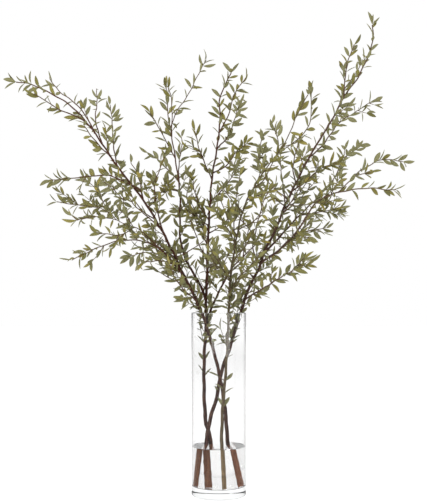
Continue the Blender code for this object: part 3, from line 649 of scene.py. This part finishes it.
LEAF_TIPS = {
    # where the leaf tips of each twig show on the front view
    "branch_right": {
        "stem": [(369, 12), (376, 17), (381, 17)],
        "upper_right": [(349, 140), (336, 147), (338, 152), (348, 168)],
        "upper_right_fork": [(358, 138), (363, 140), (371, 145), (366, 148), (357, 153)],
        "long_right": [(405, 186), (398, 184), (402, 197), (390, 197), (379, 195), (359, 198), (370, 181),
            (376, 181), (354, 183)],
        "far_right": [(415, 161), (398, 166), (405, 172), (407, 155), (385, 151), (380, 153), (391, 154),
            (367, 159), (385, 161)],
        "far_right_fork": [(374, 171)],
        "low_right": [(318, 256), (317, 268), (308, 273), (311, 251), (303, 250), (286, 283), (288, 279),
            (298, 273), (291, 264), (305, 268), (281, 268), (267, 294)],
        "right_a": [(331, 222), (333, 231), (326, 232), (321, 239), (313, 221), (322, 223)],
        "right_b": [(311, 235), (317, 240), (308, 245)],
        "right_c": [(342, 204), (350, 207), (347, 217), (336, 218), (327, 222), (334, 198), (339, 197)],
        "top_a": [(371, 90), (381, 96), (383, 100), (383, 108), (375, 118), (357, 122), (363, 98),
            (347, 125), (328, 149), (333, 149), (340, 130)],
        "top_b": [(344, 46), (352, 39), (358, 42), (360, 44), (339, 64), (340, 81), (349, 62)],
        "top_c": [(336, 88), (348, 73), (358, 55)],
        "inner_c": [(273, 181), (277, 182)],
    },
    "branch_middle": {
        "stem": [(223, 62), (238, 63), (239, 74), (211, 89), (230, 92), (208, 111), (223, 75), (197, 336),
            (198, 352), (209, 351), (198, 364), (210, 368)],
        "limb_left": [(164, 77), (155, 84), (160, 102), (161, 97), (160, 117), (165, 127)],
        "limb_left_b": [(207, 54), (213, 58), (199, 55), (216, 65), (185, 78), (203, 87), (190, 107)],
        "limb_left_c": [(144, 110), (151, 106), (144, 124), (160, 115), (155, 137), (164, 146)],
        "limb_left_d": [(175, 136), (185, 143), (176, 150), (189, 156)],
        "limb_left_e": [(147, 152), (152, 150), (165, 156), (155, 170), (167, 163)],
        "middle_a": [(185, 168), (195, 168), (199, 175)],
        "middle_d": [(194, 127), (188, 135), (202, 134), (191, 147), (207, 148), (198, 163)],
        "middle_e": [(229, 126), (236, 133), (244, 123), (242, 117), (248, 107), (247, 101)],
        "middle_f": [(249, 73), (253, 84), (249, 91), (229, 84), (238, 81)],
        "middle_g": [(242, 137), (247, 134), (230, 150), (233, 143), (258, 145)],
    },
    "branch_left": {
        "stem": [(7, 73), (4, 88), (22, 74), (29, 71), (16, 90), (22, 91)],
        "left_arch": [(43, 175), (47, 188), (60, 172), (55, 170), (58, 188), (96, 167), (88, 168),
            (81, 168), (78, 194)],
        "left_a": [(139, 165), (130, 168), (147, 182)],
        "left_e": [(153, 170), (148, 172), (151, 178), (171, 213)],
        "left_f": [(106, 101), (115, 104), (119, 109), (121, 114), (103, 112), (101, 121), (122, 125),
            (117, 130), (106, 135), (118, 147)],
        "left_g": [(91, 89), (102, 89), (88, 99), (106, 97)],
        "left_h": [(76, 124), (78, 130), (80, 137), (89, 140), (92, 150)],
        "left_i": [(28, 94), (35, 105), (52, 114), (68, 121), (76, 120), (55, 101)],
        "left_j": [(45, 80), (41, 85), (75, 92), (62, 105)],
        "low_b": [(63, 208), (70, 215), (76, 227), (61, 221), (80, 212)],
        "low_c": [(66, 196), (82, 198), (91, 199)],
        "low_d": [(92, 227), (96, 238), (105, 224)],
        "low_arch": [(65, 260), (79, 269), (73, 251), (91, 241), (101, 257)],
        "low_e": [(120, 258), (120, 264), (130, 267), (122, 251), (137, 266)],
        "low_g": [(165, 273), (173, 287), (180, 289), (166, 267)],
    },
    "branch_centre": {
        "centre_a": [(275, 119), (265, 127), (268, 134)],
        "centre_b": [(293, 111), (307, 113), (302, 93), (303, 99), (298, 107)],
        "centre_c": [(309, 88), (313, 85), (320, 113), (317, 129), (304, 115), (296, 133), (318, 108),
            (318, 97)],
        "stem": [(233, 373), (232, 386), (230, 397), (218, 397), (217, 382), (210, 371)],
    },
}

def clear_of_glass(places, margin):
    """True unless the path crosses the wall or the rim of the vase."""
    return all(math.hypot(place.x, place.y) < inner - margin
               for place in places if place.z < VASE_HEIGHT + RIM_ROOM)


def sides_of(twig):
    """Two directions across a twig."""
    helper = UP if abs(twig.z) < 0.9 else Vector((1, 0, 0))
    first = twig.cross(helper).normalized()
    return first, twig.cross(first).normalized()


def leaving(twig, open_by, turn):
    """The direction that opens from a twig by an angle, turned round it by another."""
    first, second = sides_of(twig)
    sideways = first * math.cos(turn) + second * math.sin(turn)
    return (twig * math.cos(open_by) + sideways * math.sin(open_by)).normalized()


def sprig_route(root, out, twig, length, chance):
    """A sprig leaves along out and straightens toward the twig's own direction and the light."""
    later = (out + twig * 0.25 + UP * chance.uniform(-0.05, 0.22)).normalized()
    places = [root, root + out * length * 0.4, root + out * length * 0.4 + later * length * 0.6]
    points = resample(places, SPRIG_STEP)
    return points, radii_between(len(points), SPRIG_RADIUS, SPRIG_TIP)


def drawn_leaf(points, tip, chance):
    """The joint on a twig that a drawn leaf tip belongs to, the twig's direction there, and the
    leaf's own direction and length. A short leaf on the drawing points toward the eye or away."""
    flat = [on_drawing(place) for place in points]

    def misfit(i):
        reach, twig = tip - flat[i], flat[i] - flat[i - 1]
        turn = math.degrees(reach.angle(twig, 0.0))
        return abs(reach.length - LEAF_REACH) / LEAF_REACH + max(0.0, turn - DRAWN_OPEN) / 60

    i = min(range(1, len(points)), key=misfit)
    root, twig = points[i], (points[i] - points[i - 1]).normalized()
    flat_length = (at(tip.x, tip.y, root.y) - root).length
    length = max(chance.uniform(*DRAWN_LEAF), min(flat_length, LONGEST_LEAF))
    depth = math.sqrt(max(0.0, length ** 2 - flat_length ** 2)) * chance.choice((-1, 1))
    out = (at(tip.x, tip.y, root.y + depth) - root).normalized()
    return root, twig, out, length, flat_length


def crowding(place):
    """How many times as many leaves as elsewhere stand at a place."""
    spot = on_drawing(place)
    factor = 1.0
    for across, down, reach, times in CROWDING:
        factor *= times ** math.exp(-((spot.x - across) ** 2 + (spot.y - down) ** 2) / reach ** 2)
    return factor


def wood_in_view():
    """Where the front view shows thick wood, as cells one unit wide, and how deep it stands there."""
    seen = {}
    for found in routes.values():
        for points, radii in found.values():
            for a, b, radius in zip(points, points[1:], radii):
                if radius < BARE_RADIUS:
                    continue
                for i in range(6):
                    place = a.lerp(b, i / 6)
                    spot = on_drawing(place)
                    for aside in (-0.8, 0.0, 0.8):
                        cell = (round(spot.x + aside), round(spot.y))
                        seen[cell] = max(seen.get(cell, place.y), place.y)
    return seen


bare_wood = wood_in_view()
leaf_spots = {name: [] for name in STEMS}


def add_leaf(name, root, twig, out, length, kind, lucky):
    """Sets a leaf unless it would cross the glass. Few are set where they hide the thick wood."""
    blade = [root + out * length * share for share in (0.3, 0.5, 0.7, 1.0)]
    hides = False
    for place in blade[:3]:
        spot = on_drawing(place)
        hides = hides or bare_wood.get((round(spot.x), round(spot.y)), place.y) > place.y + 0.002
    if clear_of_glass(blade, GLASS_ROOM) and lucky > HIDING_SHARE * hides:
        leaf_spots[name].append((root, twig, out, length, kind))


def leaf_odds(kind, height, share, drawn):
    """How likely each leaf of a pair is there."""
    if height < LEAFY_FROM:
        return LEAF_ODDS["foot"]
    if kind == "stem":
        return LEAF_ODDS["crown" if height < LEAFY_TO else "stem" if share < 0.60 else "stem end"]
    return LEAF_ODDS["drawn" if drawn and share > 0.5 else "twig"]


def sprig_odds(kind, height, share):
    """How likely a sprig grows beside a leaf pair."""
    if kind == "sprig" or share > 0.80 or height < LEAFY_FROM:
        return 0.0
    if kind == "stem" and height < LEAFY_TO:
        return SPRIG_ODDS["crown"]
    part = "stem" if kind == "stem" else "twig"
    return SPRIG_ODDS[part if height < INNER_TO else "high " + part]


def set_leaves(name, kind, root, twig, turn, share, times, drawn, chance):
    """A pair of leaves across a twig, with up to two more between them in a crowded place."""
    odds = leaf_odds(kind, root.z, share, drawn) * times
    for place, side in enumerate((0, math.pi, math.pi / 2, -math.pi / 2)):
        lucky, bare = chance.random(), chance.random()
        open_by = math.radians(chance.uniform(*(LEAF_OPEN if share < 0.8 else END_LEAF_OPEN)))
        length = chance.uniform(*(INNER_LEAF if root.z < INNER_TO else OUTER_LEAF))
        if lucky > (odds if place < 2 else WHORL_ODDS * (times - 1.0)):
            continue
        out = leaving(twig, open_by, turn + side)
        length *= SPRIG_LEAF if kind == "sprig" else 1.0
        spot = on_drawing(root + out * length)
        if not any((spot - tip).length < LEAF_ROOM for tip in drawn):
            add_leaf(name, root, twig, out, length, kind, bare)


def axil_sprigs(part, number, kind, root, twig, turn, share, times, chance):
    """The sprigs beside a leaf pair: one at most, and up to two low on a stem."""
    found = {}
    odds = sprig_odds(kind, root.z, share) * times
    crown = kind == "stem" and root.z < LEAFY_TO
    for side in (0, math.pi) if crown else (chance.choice((0, math.pi)),):
        lucky = chance.random()
        length = chance.uniform(*SPRIG_LENGTH) * (STEM_SPRIG if kind == "stem" else 1.0)
        open_by = math.radians(chance.uniform(*(SPRIG_OPEN_IN_VASE if root.z < VASE_HEIGHT else SPRIG_OPEN)))
        if lucky > odds:
            continue
        sprig = sprig_route(root, leaving(twig, open_by, turn + side), twig, length, chance)
        if clear_of_glass(sprig[0], SPRIG_GLASS_ROOM):
            found[f"sprig_{part}_{number}_{round(side)}"] = sprig
    return found


def grow(name, part, points, kind):
    """Sets the leaves of a twig and returns the sprigs in their axils."""
    along = along_route(points)
    total = along[-1]
    sprigs = {}
    chance = random.Random(f"{SEED} {name} {part}")
    drawn = [Vector(tip) for tip in LEAF_TIPS[name].get(part, [])]
    for number, tip in enumerate(drawn):
        root, twig, out, length, flat_length = drawn_leaf(points, tip, chance)
        if flat_length < LONGEST_LEAF + 0.001:
            add_leaf(name, root, twig, out, length, kind, 1.0)
            continue
        sprig = sprig_route(root, out, out, flat_length - END_LEAF, chance)
        if clear_of_glass(sprig[0], SPRIG_GLASS_ROOM):
            sprigs[f"sprig_{part}_drawn_{number}"] = sprig
    reached = FIRST_PAIR[kind]
    turn = chance.uniform(0, math.pi)
    number = 0
    while reached < total - LAST_PAIR:
        number += 1
        chance = random.Random(f"{SEED} {name} {part} {number}")
        root, twig = on_route(points, along, reached)
        times = crowding(root + twig * 0.012)
        set_leaves(name, kind, root, twig, turn, reached / total, times, drawn, chance)
        sprigs.update(axil_sprigs(part, number, kind, root, twig, turn, reached / total, times, chance))
        turn += math.pi / 2 + chance.uniform(-TURN_SPREAD, TURN_SPREAD)
        reached += NODE_STEP * (SPRIG_SPACING if kind == "sprig" else 1.0) * chance.uniform(*SPACING)
    twig = (points[-1] - points[-2]).normalized()
    near = sum((tip - on_drawing(points[-1])).length < NEAR_END for tip in drawn)
    for i in range(max(1, (2 if kind == "sprig" else 3) - near)):
        open_by = math.radians(chance.uniform(*(CLUSTER_OPEN if i or near else CLUSTER_FIRST_OPEN)))
        out = leaving(twig, open_by, turn + i * math.pi)
        add_leaf(name, points[-1], twig, out, chance.uniform(*TIP_LEAF), "tip", chance.random())
    return sprigs


for name in STEMS:
    sprigs = {}
    for part, (points, radii) in routes[name].items():
        sprigs.update(grow(name, part, points, "stem" if part == "stem" else "shoot"))
    for part, (points, radii) in sprigs.items():
        routes[name][part] = (points, radii)
        grow(name, part, points, "sprig")


# Wood: the stems and twigs, round, tapering and a little crooked, thicker where a shoot leaves
# and at each leaf joint. Old wood is purple brown with pale streaks, young twigs are plain and tan,
# and the stripped ends in the water are lighter, most of them red brown.
WOOD_SIDES = 9
CROOKED = 0.0007
SWAYS = (95, 80, 110)
STEADY_IN_WATER = 0.03
KNUCKLE = 0.10
COLLAR = 0.45
COLLAR_REACH = 0.006
SHOOT_FULLNESS = 1.15
ROUGHNESS_DEPTH = 0.00018
BARK = {
    # old wood, its pale streaks, half grown wood, young twigs, and the stripped end in the water
    "branch_right": ((0.040, 0.018, 0.014), (0.096, 0.053, 0.043), (0.094, 0.056, 0.040),
                     (0.125, 0.088, 0.058), (0.180, 0.076, 0.038)),
    "branch_middle": ((0.042, 0.020, 0.015), (0.100, 0.056, 0.044), (0.074, 0.032, 0.020),
                      (0.114, 0.076, 0.046), (0.231, 0.104, 0.058)),
    "branch_left": ((0.042, 0.020, 0.015), (0.098, 0.054, 0.041), (0.074, 0.030, 0.019),
                    (0.110, 0.072, 0.043), (0.260, 0.110, 0.062)),
    "branch_centre": ((0.082, 0.060, 0.036), (0.145, 0.112, 0.070), (0.086, 0.066, 0.036),
                      (0.112, 0.084, 0.050), (0.245, 0.168, 0.090)),
}
SOAKED_DARK = 0.62


def carry(mesh, **lists):
    """Gives each point of a mesh its own value under each name."""
    for label, values in lists.items():
        kind = "INT" if isinstance(values[0], int) else "FLOAT"
        mesh.attributes.new(label, kind, "POINT").data.foreach_set("value", values)


def youth_at(part, share, radius):
    """How young the wood is: 0 on an old stem, 1 on a thin twig."""
    if part == "stem":
        return 0.55 * share ** 1.6
    if part.startswith("sprig"):
        return 0.85 + 0.15 * share
    return max(0.15, min(1.0, 1.15 - radius / 0.0032)) * (0.75 + 0.25 * share)


def wood_lines(name, found):
    """The middle lines of a branch as edges, with the thickness and the youth at each point."""
    chance = random.Random(SEED + sum(map(ord, name)))
    places, edges, thickness, youth = [], [], [], []
    for part, (points, radii) in found.items():
        start = len(places)
        phase = [chance.uniform(0, 2 * math.pi) for _ in range(4)]
        is_stem, is_sprig = part == "stem", part.startswith("sprig")
        along = along_route(points)
        for i, (place, radius) in enumerate(zip(points, radii)):
            sway = min(1.0, i / 3) * CROOKED * (0.6 if is_sprig else 1.0)
            if is_stem:
                sway = CROOKED * min(1.0, max(0.0, (place.z - WATER_TOP) / STEADY_IN_WATER))
            aside = Vector([math.sin(along[i] * beat + late) for beat, late in zip(SWAYS, phase)])
            places.append(place + aside * sway)
            knuckle = 1 + KNUCKLE * max(0.0, math.sin(along[i] * 2 * math.pi / NODE_STEP + phase[3])) ** 3
            collar = 1 + (0.0 if is_stem else COLLAR) * math.exp(-along[i] / COLLAR_REACH)
            thickness.append(radius * knuckle * collar * (1.0 if is_stem or is_sprig else SHOOT_FULLNESS))
            youth.append(youth_at(part, along[i] / along[-1], radius))
        edges += [(start + i, start + i + 1) for i in range(len(points) - 1)]
    mesh = bpy.data.meshes.new(name + "_lines")
    mesh.from_pydata(places, edges, [])
    carry(mesh, thickness=thickness, youth=youth)
    return mesh


def value_of(tree, kind, label):
    """What each point carries under a name."""
    return add_node(tree, "GeometryNodeInputNamedAttribute", {"Name": label}, data_type=kind)["Attribute"]


def finish_tree(tree, given, shape, surface):
    """Ends a geometry tree with real faces in their material."""
    whole = add_node(tree, "GeometryNodeRealizeInstances", {"Geometry": shape})[0]
    dressed = add_node(tree, "GeometryNodeSetMaterial", {"Geometry": whole, "Material": surface})
    feed(tree, given, {"Geometry": dressed[0]})


def made_solid(name, lines, tree, values):
    """Runs a tree on a mesh, with its inputs set, and keeps what it makes."""
    guide = link_new(name + "_guide", lines)
    modifier = guide.modifiers.new("grow", "NODES")
    modifier.node_group = tree
    for item in tree.interface.items_tree:
        if item.in_out == "INPUT" and item.name in values:
            modifier[item.identifier] = values[item.name]
    return kept_solid(guide, name)


wood_tree, asked, given = new_group("wood_along_lines", "GeometryNodeTree",
                                    {"Geometry": "Geometry", "Sides": "Int", "Roughness Depth": "Float",
                                     "Bark": "Material"}, {"Geometry": "Geometry"})
to_curve = add_node(wood_tree, "GeometryNodeMeshToCurve", {"Mesh": asked["Geometry"]})
ring = add_node(wood_tree, "GeometryNodeCurvePrimitiveCircle", {"Resolution": asked["Sides"]})
swept = add_node(wood_tree, "GeometryNodeCurveToMesh",
                 {"Curve": to_curve["Curve"], "Profile Curve": ring["Curve"],
                  "Scale": value_of(wood_tree, "FLOAT", "thickness"), "Fill Caps": True})
grain = add_node(wood_tree, "ShaderNodeTexNoise", {"Scale": 130.0})
deep = maths(wood_tree, "MULTIPLY", maths(wood_tree, "SUBTRACT", grain[0], 0.5),
             asked["Roughness Depth"])
outward = add_node(wood_tree, "GeometryNodeInputNormal", {})
push = add_node(wood_tree, "ShaderNodeVectorMath", {0: outward[0], "Scale": deep}, operation="SCALE")
uneven = add_node(wood_tree, "GeometryNodeSetPosition",
                  {"Geometry": swept["Mesh"], "Offset": push["Vector"]})
smooth = add_node(wood_tree, "GeometryNodeSetShadeSmooth", {"Geometry": uneven["Geometry"]})
finish_tree(wood_tree, given, smooth["Geometry"], asked["Bark"])

streaks, asked, given = new_group("bark_streaks", "ShaderNodeTree",
                                  {"Vector": "Vector", "Fine": "Float", "Broad": "Float"},
                                  {"Streak": "Float", "Patch": "Float", "Height": "Float"})
spot = asked["Vector"]
stretch = add_node(streaks, "ShaderNodeMapping", {"Vector": spot, "Scale": (1.0, 1.0, 0.12)})
fine = add_node(streaks, "ShaderNodeTexNoise",
                {"Vector": stretch["Vector"], "Scale": asked["Fine"], "Detail": 3.0})
broad = add_node(streaks, "ShaderNodeTexNoise", {"Vector": spot, "Scale": asked["Broad"]})
dots = add_node(streaks, "ShaderNodeTexVoronoi", {"Vector": spot, "Scale": 300.0})
pores = ranged(streaks, dots["Distance"], 0.28, 0.10)
feed(streaks, given, {"Streak": fine[0], "Patch": broad[0],
                      "Height": maths(streaks, "MULTIPLY_ADD", pores, 0.5, fine[0])})


def layered(tree, colour, *layers):
    """Colours laid over a first one, each where a value passes from its low to its high level."""
    for value, low, high, over in layers:
        base, over = ((*paint, 1) if isinstance(paint, tuple) else paint for paint in (colour, over))
        share = ranged(tree, value, low, high)
        colour = add_node(tree, "ShaderNodeMix", {0: share, 6: base, 7: over}, data_type="RGBA")[2]
    return colour


def attribute(tree, label):
    return add_node(tree, "ShaderNodeAttribute", {}, attribute_name=label)["Fac"]


def surface(tree, shader, colour, height, strength, distance, dull, least, most):
    """Ends a material: its colour, its relief, and how rough it is where dull is 0 and where it is 1."""
    bump = add_node(tree, "ShaderNodeBump", {"Height": height, "Strength": strength, "Distance": distance})
    feed(tree, shader, {"Base Color": colour, "Normal": bump["Normal"],
                        "Roughness": ranged(tree, dull, 0.0, 1.0, least, most)})


def bark_material(name, old, old_pale, middle, young, soaked):
    """Streaked and patched bark that turns plainer with youth, and stripped wood in the water."""
    made, tree, shader = new_material(name, {"Specular IOR Level": 0.04})
    place = add_node(tree, "ShaderNodeTexCoord", {})["Object"]
    marks = add_node(tree, "ShaderNodeGroup", {"Vector": place, "Fine": 420.0, "Broad": 26.0},
                     node_tree=streaks)
    youth = attribute(tree, "youth")
    dark_soaked = tuple(level * SOAKED_DARK for level in soaked)
    stripped = layered(tree, dark_soaked, (marks["Streak"], 0.35, 0.80, soaked))
    height = add_node(tree, "ShaderNodeSeparateXYZ", {"Vector": place})["Z"]
    colour = layered(tree, old, (marks["Streak"], 0.45, 0.75, old_pale), (marks["Patch"], 0.48, 0.68, middle),
                     (youth, 0.05, 0.45, middle), (youth, 0.40, 0.85, young),
                     (height, WATER_TOP + 0.001, WATER_TOP - 0.001, stripped))
    surface(tree, shader, colour, marks["Height"], strength=0.5, distance=0.0004,
            dull=marks["Streak"], least=0.50, most=0.78)
    return made


for name, found in routes.items():
    bark = bark_material(name.replace("branch", "bark"), *BARK[name])
    wood = made_solid(name + "_wood", wood_lines(name, found), wood_tree,
                      {"Sides": WOOD_SIDES, "Roughness Depth": ROUGHNESS_DEPTH, "Bark": bark})
    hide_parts(name)
    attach(wood, "root")


# Leaves: narrow, pointed and leathery, folded a little along the rib and bent back. Olive above, paler and
# greyer beneath, some yellow at the shoot tips.
LEAF_FORMS = {
    # bend back, fold along the rib, sideways curve, width as a share of the length
    "leaf_a": (0.20, 0.34, 0.03, 0.295),
    "leaf_b": (0.38, 0.46, -0.06, 0.250),
    "leaf_c": (-0.12, 0.26, 0.05, 0.330),
    "leaf_d": (0.55, 0.58, 0.04, 0.240),
    "leaf_e": (0.10, 0.30, -0.02, 0.400),
}
FORM_SHARES = (0, 0, 0, 1, 1, 2, 2, 3, 4)
LEAF_OUTLINE = ((0.05, 0.12), (0.14, 0.42), (0.30, 0.83), (0.47, 1.00),
                (0.65, 0.93), (0.82, 0.63), (0.94, 0.27))
LEAF_THICK = 0.020
LEAF_DARK = (0.072, 0.068, 0.016)
LEAF_OLIVE = (0.158, 0.143, 0.027)
LEAF_PALE = (0.262, 0.236, 0.062)
LEAF_YELLOW = (0.345, 0.262, 0.035)
LEAF_SAGE = (0.150, 0.153, 0.070)
LEAF_UNDER = (0.190, 0.188, 0.095)
LEAF_RIB = (0.300, 0.270, 0.100)
SAGE_BELOW = 0.95
SAGE_FULL = 0.65
SAGE_SHARE = 0.42
SAGE_SPREAD = 0.2
# the middle and the spread of each leaf's roll, tone and yellow
LEAF_ROLL = (0.62, 0.42)
LEAF_TONE = (0.46, 0.24)
LEAF_GOLD = (0.02, 0.24)
TIP_GOLD = (0.22, 0.3)
VEINS = 90.0
VEIN_SLANT = -0.55


def leaf_form(name, bend, fold, curve, width):
    """A blade one unit long: at each step a margin, the rib above, a margin and the rib beneath."""
    def spot(along, across, up):
        return (along, across + curve * math.sin(math.pi * along), up - bend * along ** 2 * 0.5)

    places, where, under = [spot(0, 0, 0)], [(0.5, 0.0)], [0.0]
    for along, share in LEAF_OUTLINE:
        half = width / 2 * share
        thick = LEAF_THICK * (0.6 + 0.4 * share)
        for across, up, side, below in ((-half, fold * half, 0.0, 0.5), (0, thick * 0.35, 0.5, 0.0),
                                        (half, fold * half, 1.0, 0.5), (0, -thick * 0.65, 0.5, 1.0)):
            places.append(spot(along, across, up))
            where.append((side, along))
            under.append(below)
    places.append(spot(1, 0, fold * 0.01))
    where.append((0.5, 1.0))
    under.append(0.0)
    last = len(places) - 1
    faces = []
    for i in range(4):
        after = (i + 1) % 4
        faces.append((0, 1 + i, 1 + after))
        for ring in range(len(LEAF_OUTLINE) - 1):
            start = 1 + ring * 4
            faces.append((start + i, start + 4 + i, start + 4 + after, start + after))
        faces.append((last, last - 4 + after, last - 4 + i))
    mesh = bpy.data.meshes.new(name)
    mesh.from_pydata(places, [], faces)
    work = bmesh.new()
    work.from_mesh(mesh)
    beneath = work.verts.layers.float.new("under")
    uv = work.loops.layers.uv.new("blade")
    for vert in work.verts:
        vert[beneath] = under[vert.index]
    for face in work.faces:
        face.smooth = True
        for loop in face.loops:
            loop[uv].uv = where[loop.vert.index]
    for line in work.edges:
        line.smooth = not all(under[vert.index] == 0.5 for vert in line.verts)
    bmesh.ops.recalc_face_normals(work, faces=work.faces)
    work.to_mesh(mesh)
    work.free()
    return mesh


leaf_kinds = bpy.data.collections.new("leaf_kinds")
bpy.context.scene.collection.children.link(leaf_kinds)
for name, form in LEAF_FORMS.items():
    leaf_kinds.objects.link(bpy.data.objects.new(name, leaf_form(name, *form)))

leaf_tree, asked, given = new_group("leaves_on_points", "GeometryNodeTree",
                                    {"Geometry": "Geometry", "Kinds": "Collection", "Size": "Float",
                                     "Surface": "Material"}, {"Geometry": "Geometry"})
kinds = add_node(leaf_tree, "GeometryNodeCollectionInfo",
                 {"Collection": asked["Kinds"], "Separate Children": True, "Reset Children": True})
size = maths(leaf_tree, "MULTIPLY", value_of(leaf_tree, "FLOAT", "long"), asked["Size"])
set_out = add_node(leaf_tree, "GeometryNodeInstanceOnPoints",
                   {"Points": asked["Geometry"], "Instance": kinds[0], "Pick Instance": True,
                    "Instance Index": value_of(leaf_tree, "INT", "kind"),
                    "Rotation": value_of(leaf_tree, "FLOAT_VECTOR", "turned"), "Scale": size})
finish_tree(leaf_tree, given, set_out["Instances"], asked["Surface"])


def leaf_material():
    """Olive leaves of different tones, yellower at some tips, with a pale rib and faint side veins."""
    made, tree, shader = new_material("eucalyptus_leaf", {"Specular IOR Level": 0.22})
    blade = add_node(tree, "ShaderNodeUVMap", {}, uv_map="blade")["UV"]
    split = add_node(tree, "ShaderNodeSeparateXYZ", {"Vector": blade})
    place = add_node(tree, "ShaderNodeTexCoord", {})["Object"]
    noise = add_node(tree, "ShaderNodeTexNoise", {"Vector": place, "Scale": 160.0, "Detail": 3.0})
    mottle = noise["Fac"]
    tone = attribute(tree, "tone")
    golden = maths(tree, "MULTIPLY", attribute(tree, "gold"), ranged(tree, split["Y"], -0.4, 1.0))
    off_rib = maths(tree, "ABSOLUTE", maths(tree, "SUBTRACT", split["X"], 0.5))
    rib = ranged(tree, off_rib, 0.075, 0.015, 0.0, 0.55)
    colour = layered(tree, LEAF_DARK, (tone, 0.0, 0.5, LEAF_OLIVE), (tone, 0.5, 1.0, LEAF_PALE),
                     (mottle, 0.40, 0.80, LEAF_OLIVE), (attribute(tree, "sage"), 0.0, 1.0, LEAF_SAGE),
                     (golden, 0.0, 1.0, LEAF_YELLOW), (attribute(tree, "under"), 0.1, 0.9, LEAF_UNDER),
                     (rib, 0.0, 1.0, LEAF_RIB))
    slant = maths(tree, "MULTIPLY_ADD", off_rib, VEIN_SLANT, split["Y"])
    veins = maths(tree, "SINE", maths(tree, "MULTIPLY", slant, VEINS))
    relief = maths(tree, "MULTIPLY_ADD", veins, 0.25, mottle)
    surface(tree, shader, colour, relief, strength=0.35, distance=0.0003, dull=mottle, least=0.45, most=0.70)
    return made


def leaf_points(name, spots, chance):
    """The leaf joints of a branch as points, with each leaf's turn, length, form and tone."""
    turns, lengths, kinds, tones, golds, sages = [], [], [], [], [], []
    for root, twig, out, length, kind in spots:
        face = twig - out * twig.dot(out)
        face = face.normalized() if face.length > 0.05 else sides_of(out)[0]
        roll = chance.choice((-1, 1)) * max(0.0, chance.gauss(*LEAF_ROLL))
        turned = Matrix((out, face.cross(out), face)).transposed() @ Matrix.Rotation(roll, 3, "X")
        turns.extend(turned.to_euler())
        lengths.append(length)
        kinds.append(chance.choice(FORM_SHARES))
        tones.append(min(1.0, max(0.0, chance.gauss(*LEAF_TONE))))
        golds.append(max(0.0, chance.gauss(*(TIP_GOLD if kind == "tip" else LEAF_GOLD))))
        low = (SAGE_BELOW - root.z) / (SAGE_BELOW - SAGE_FULL)
        sages.append(min(0.9, max(0.0, low * SAGE_SHARE + chance.gauss(0.0, SAGE_SPREAD))))
    mesh = bpy.data.meshes.new(name + "_leaf_points")
    mesh.from_pydata([spot[0] for spot in spots], [], [])
    mesh.attributes.new("turned", "FLOAT_VECTOR", "POINT").data.foreach_set("vector", turns)
    carry(mesh, kind=kinds, long=lengths, tone=tones, gold=golds, sage=sages)
    return mesh


leaf_surface = leaf_material()
for number, (name, spots) in enumerate(leaf_spots.items()):
    points = leaf_points(name, spots, random.Random(SEED + 1000 + number))
    leaves = made_solid(name + "_leaves", points, leaf_tree,
                        {"Kinds": leaf_kinds, "Size": 1.0, "Surface": leaf_surface})
    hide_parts(name)
    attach(leaves, "root")
for thing in list(leaf_kinds.objects):
    bpy.data.objects.remove(thing)
bpy.data.collections.remove(leaf_kinds)
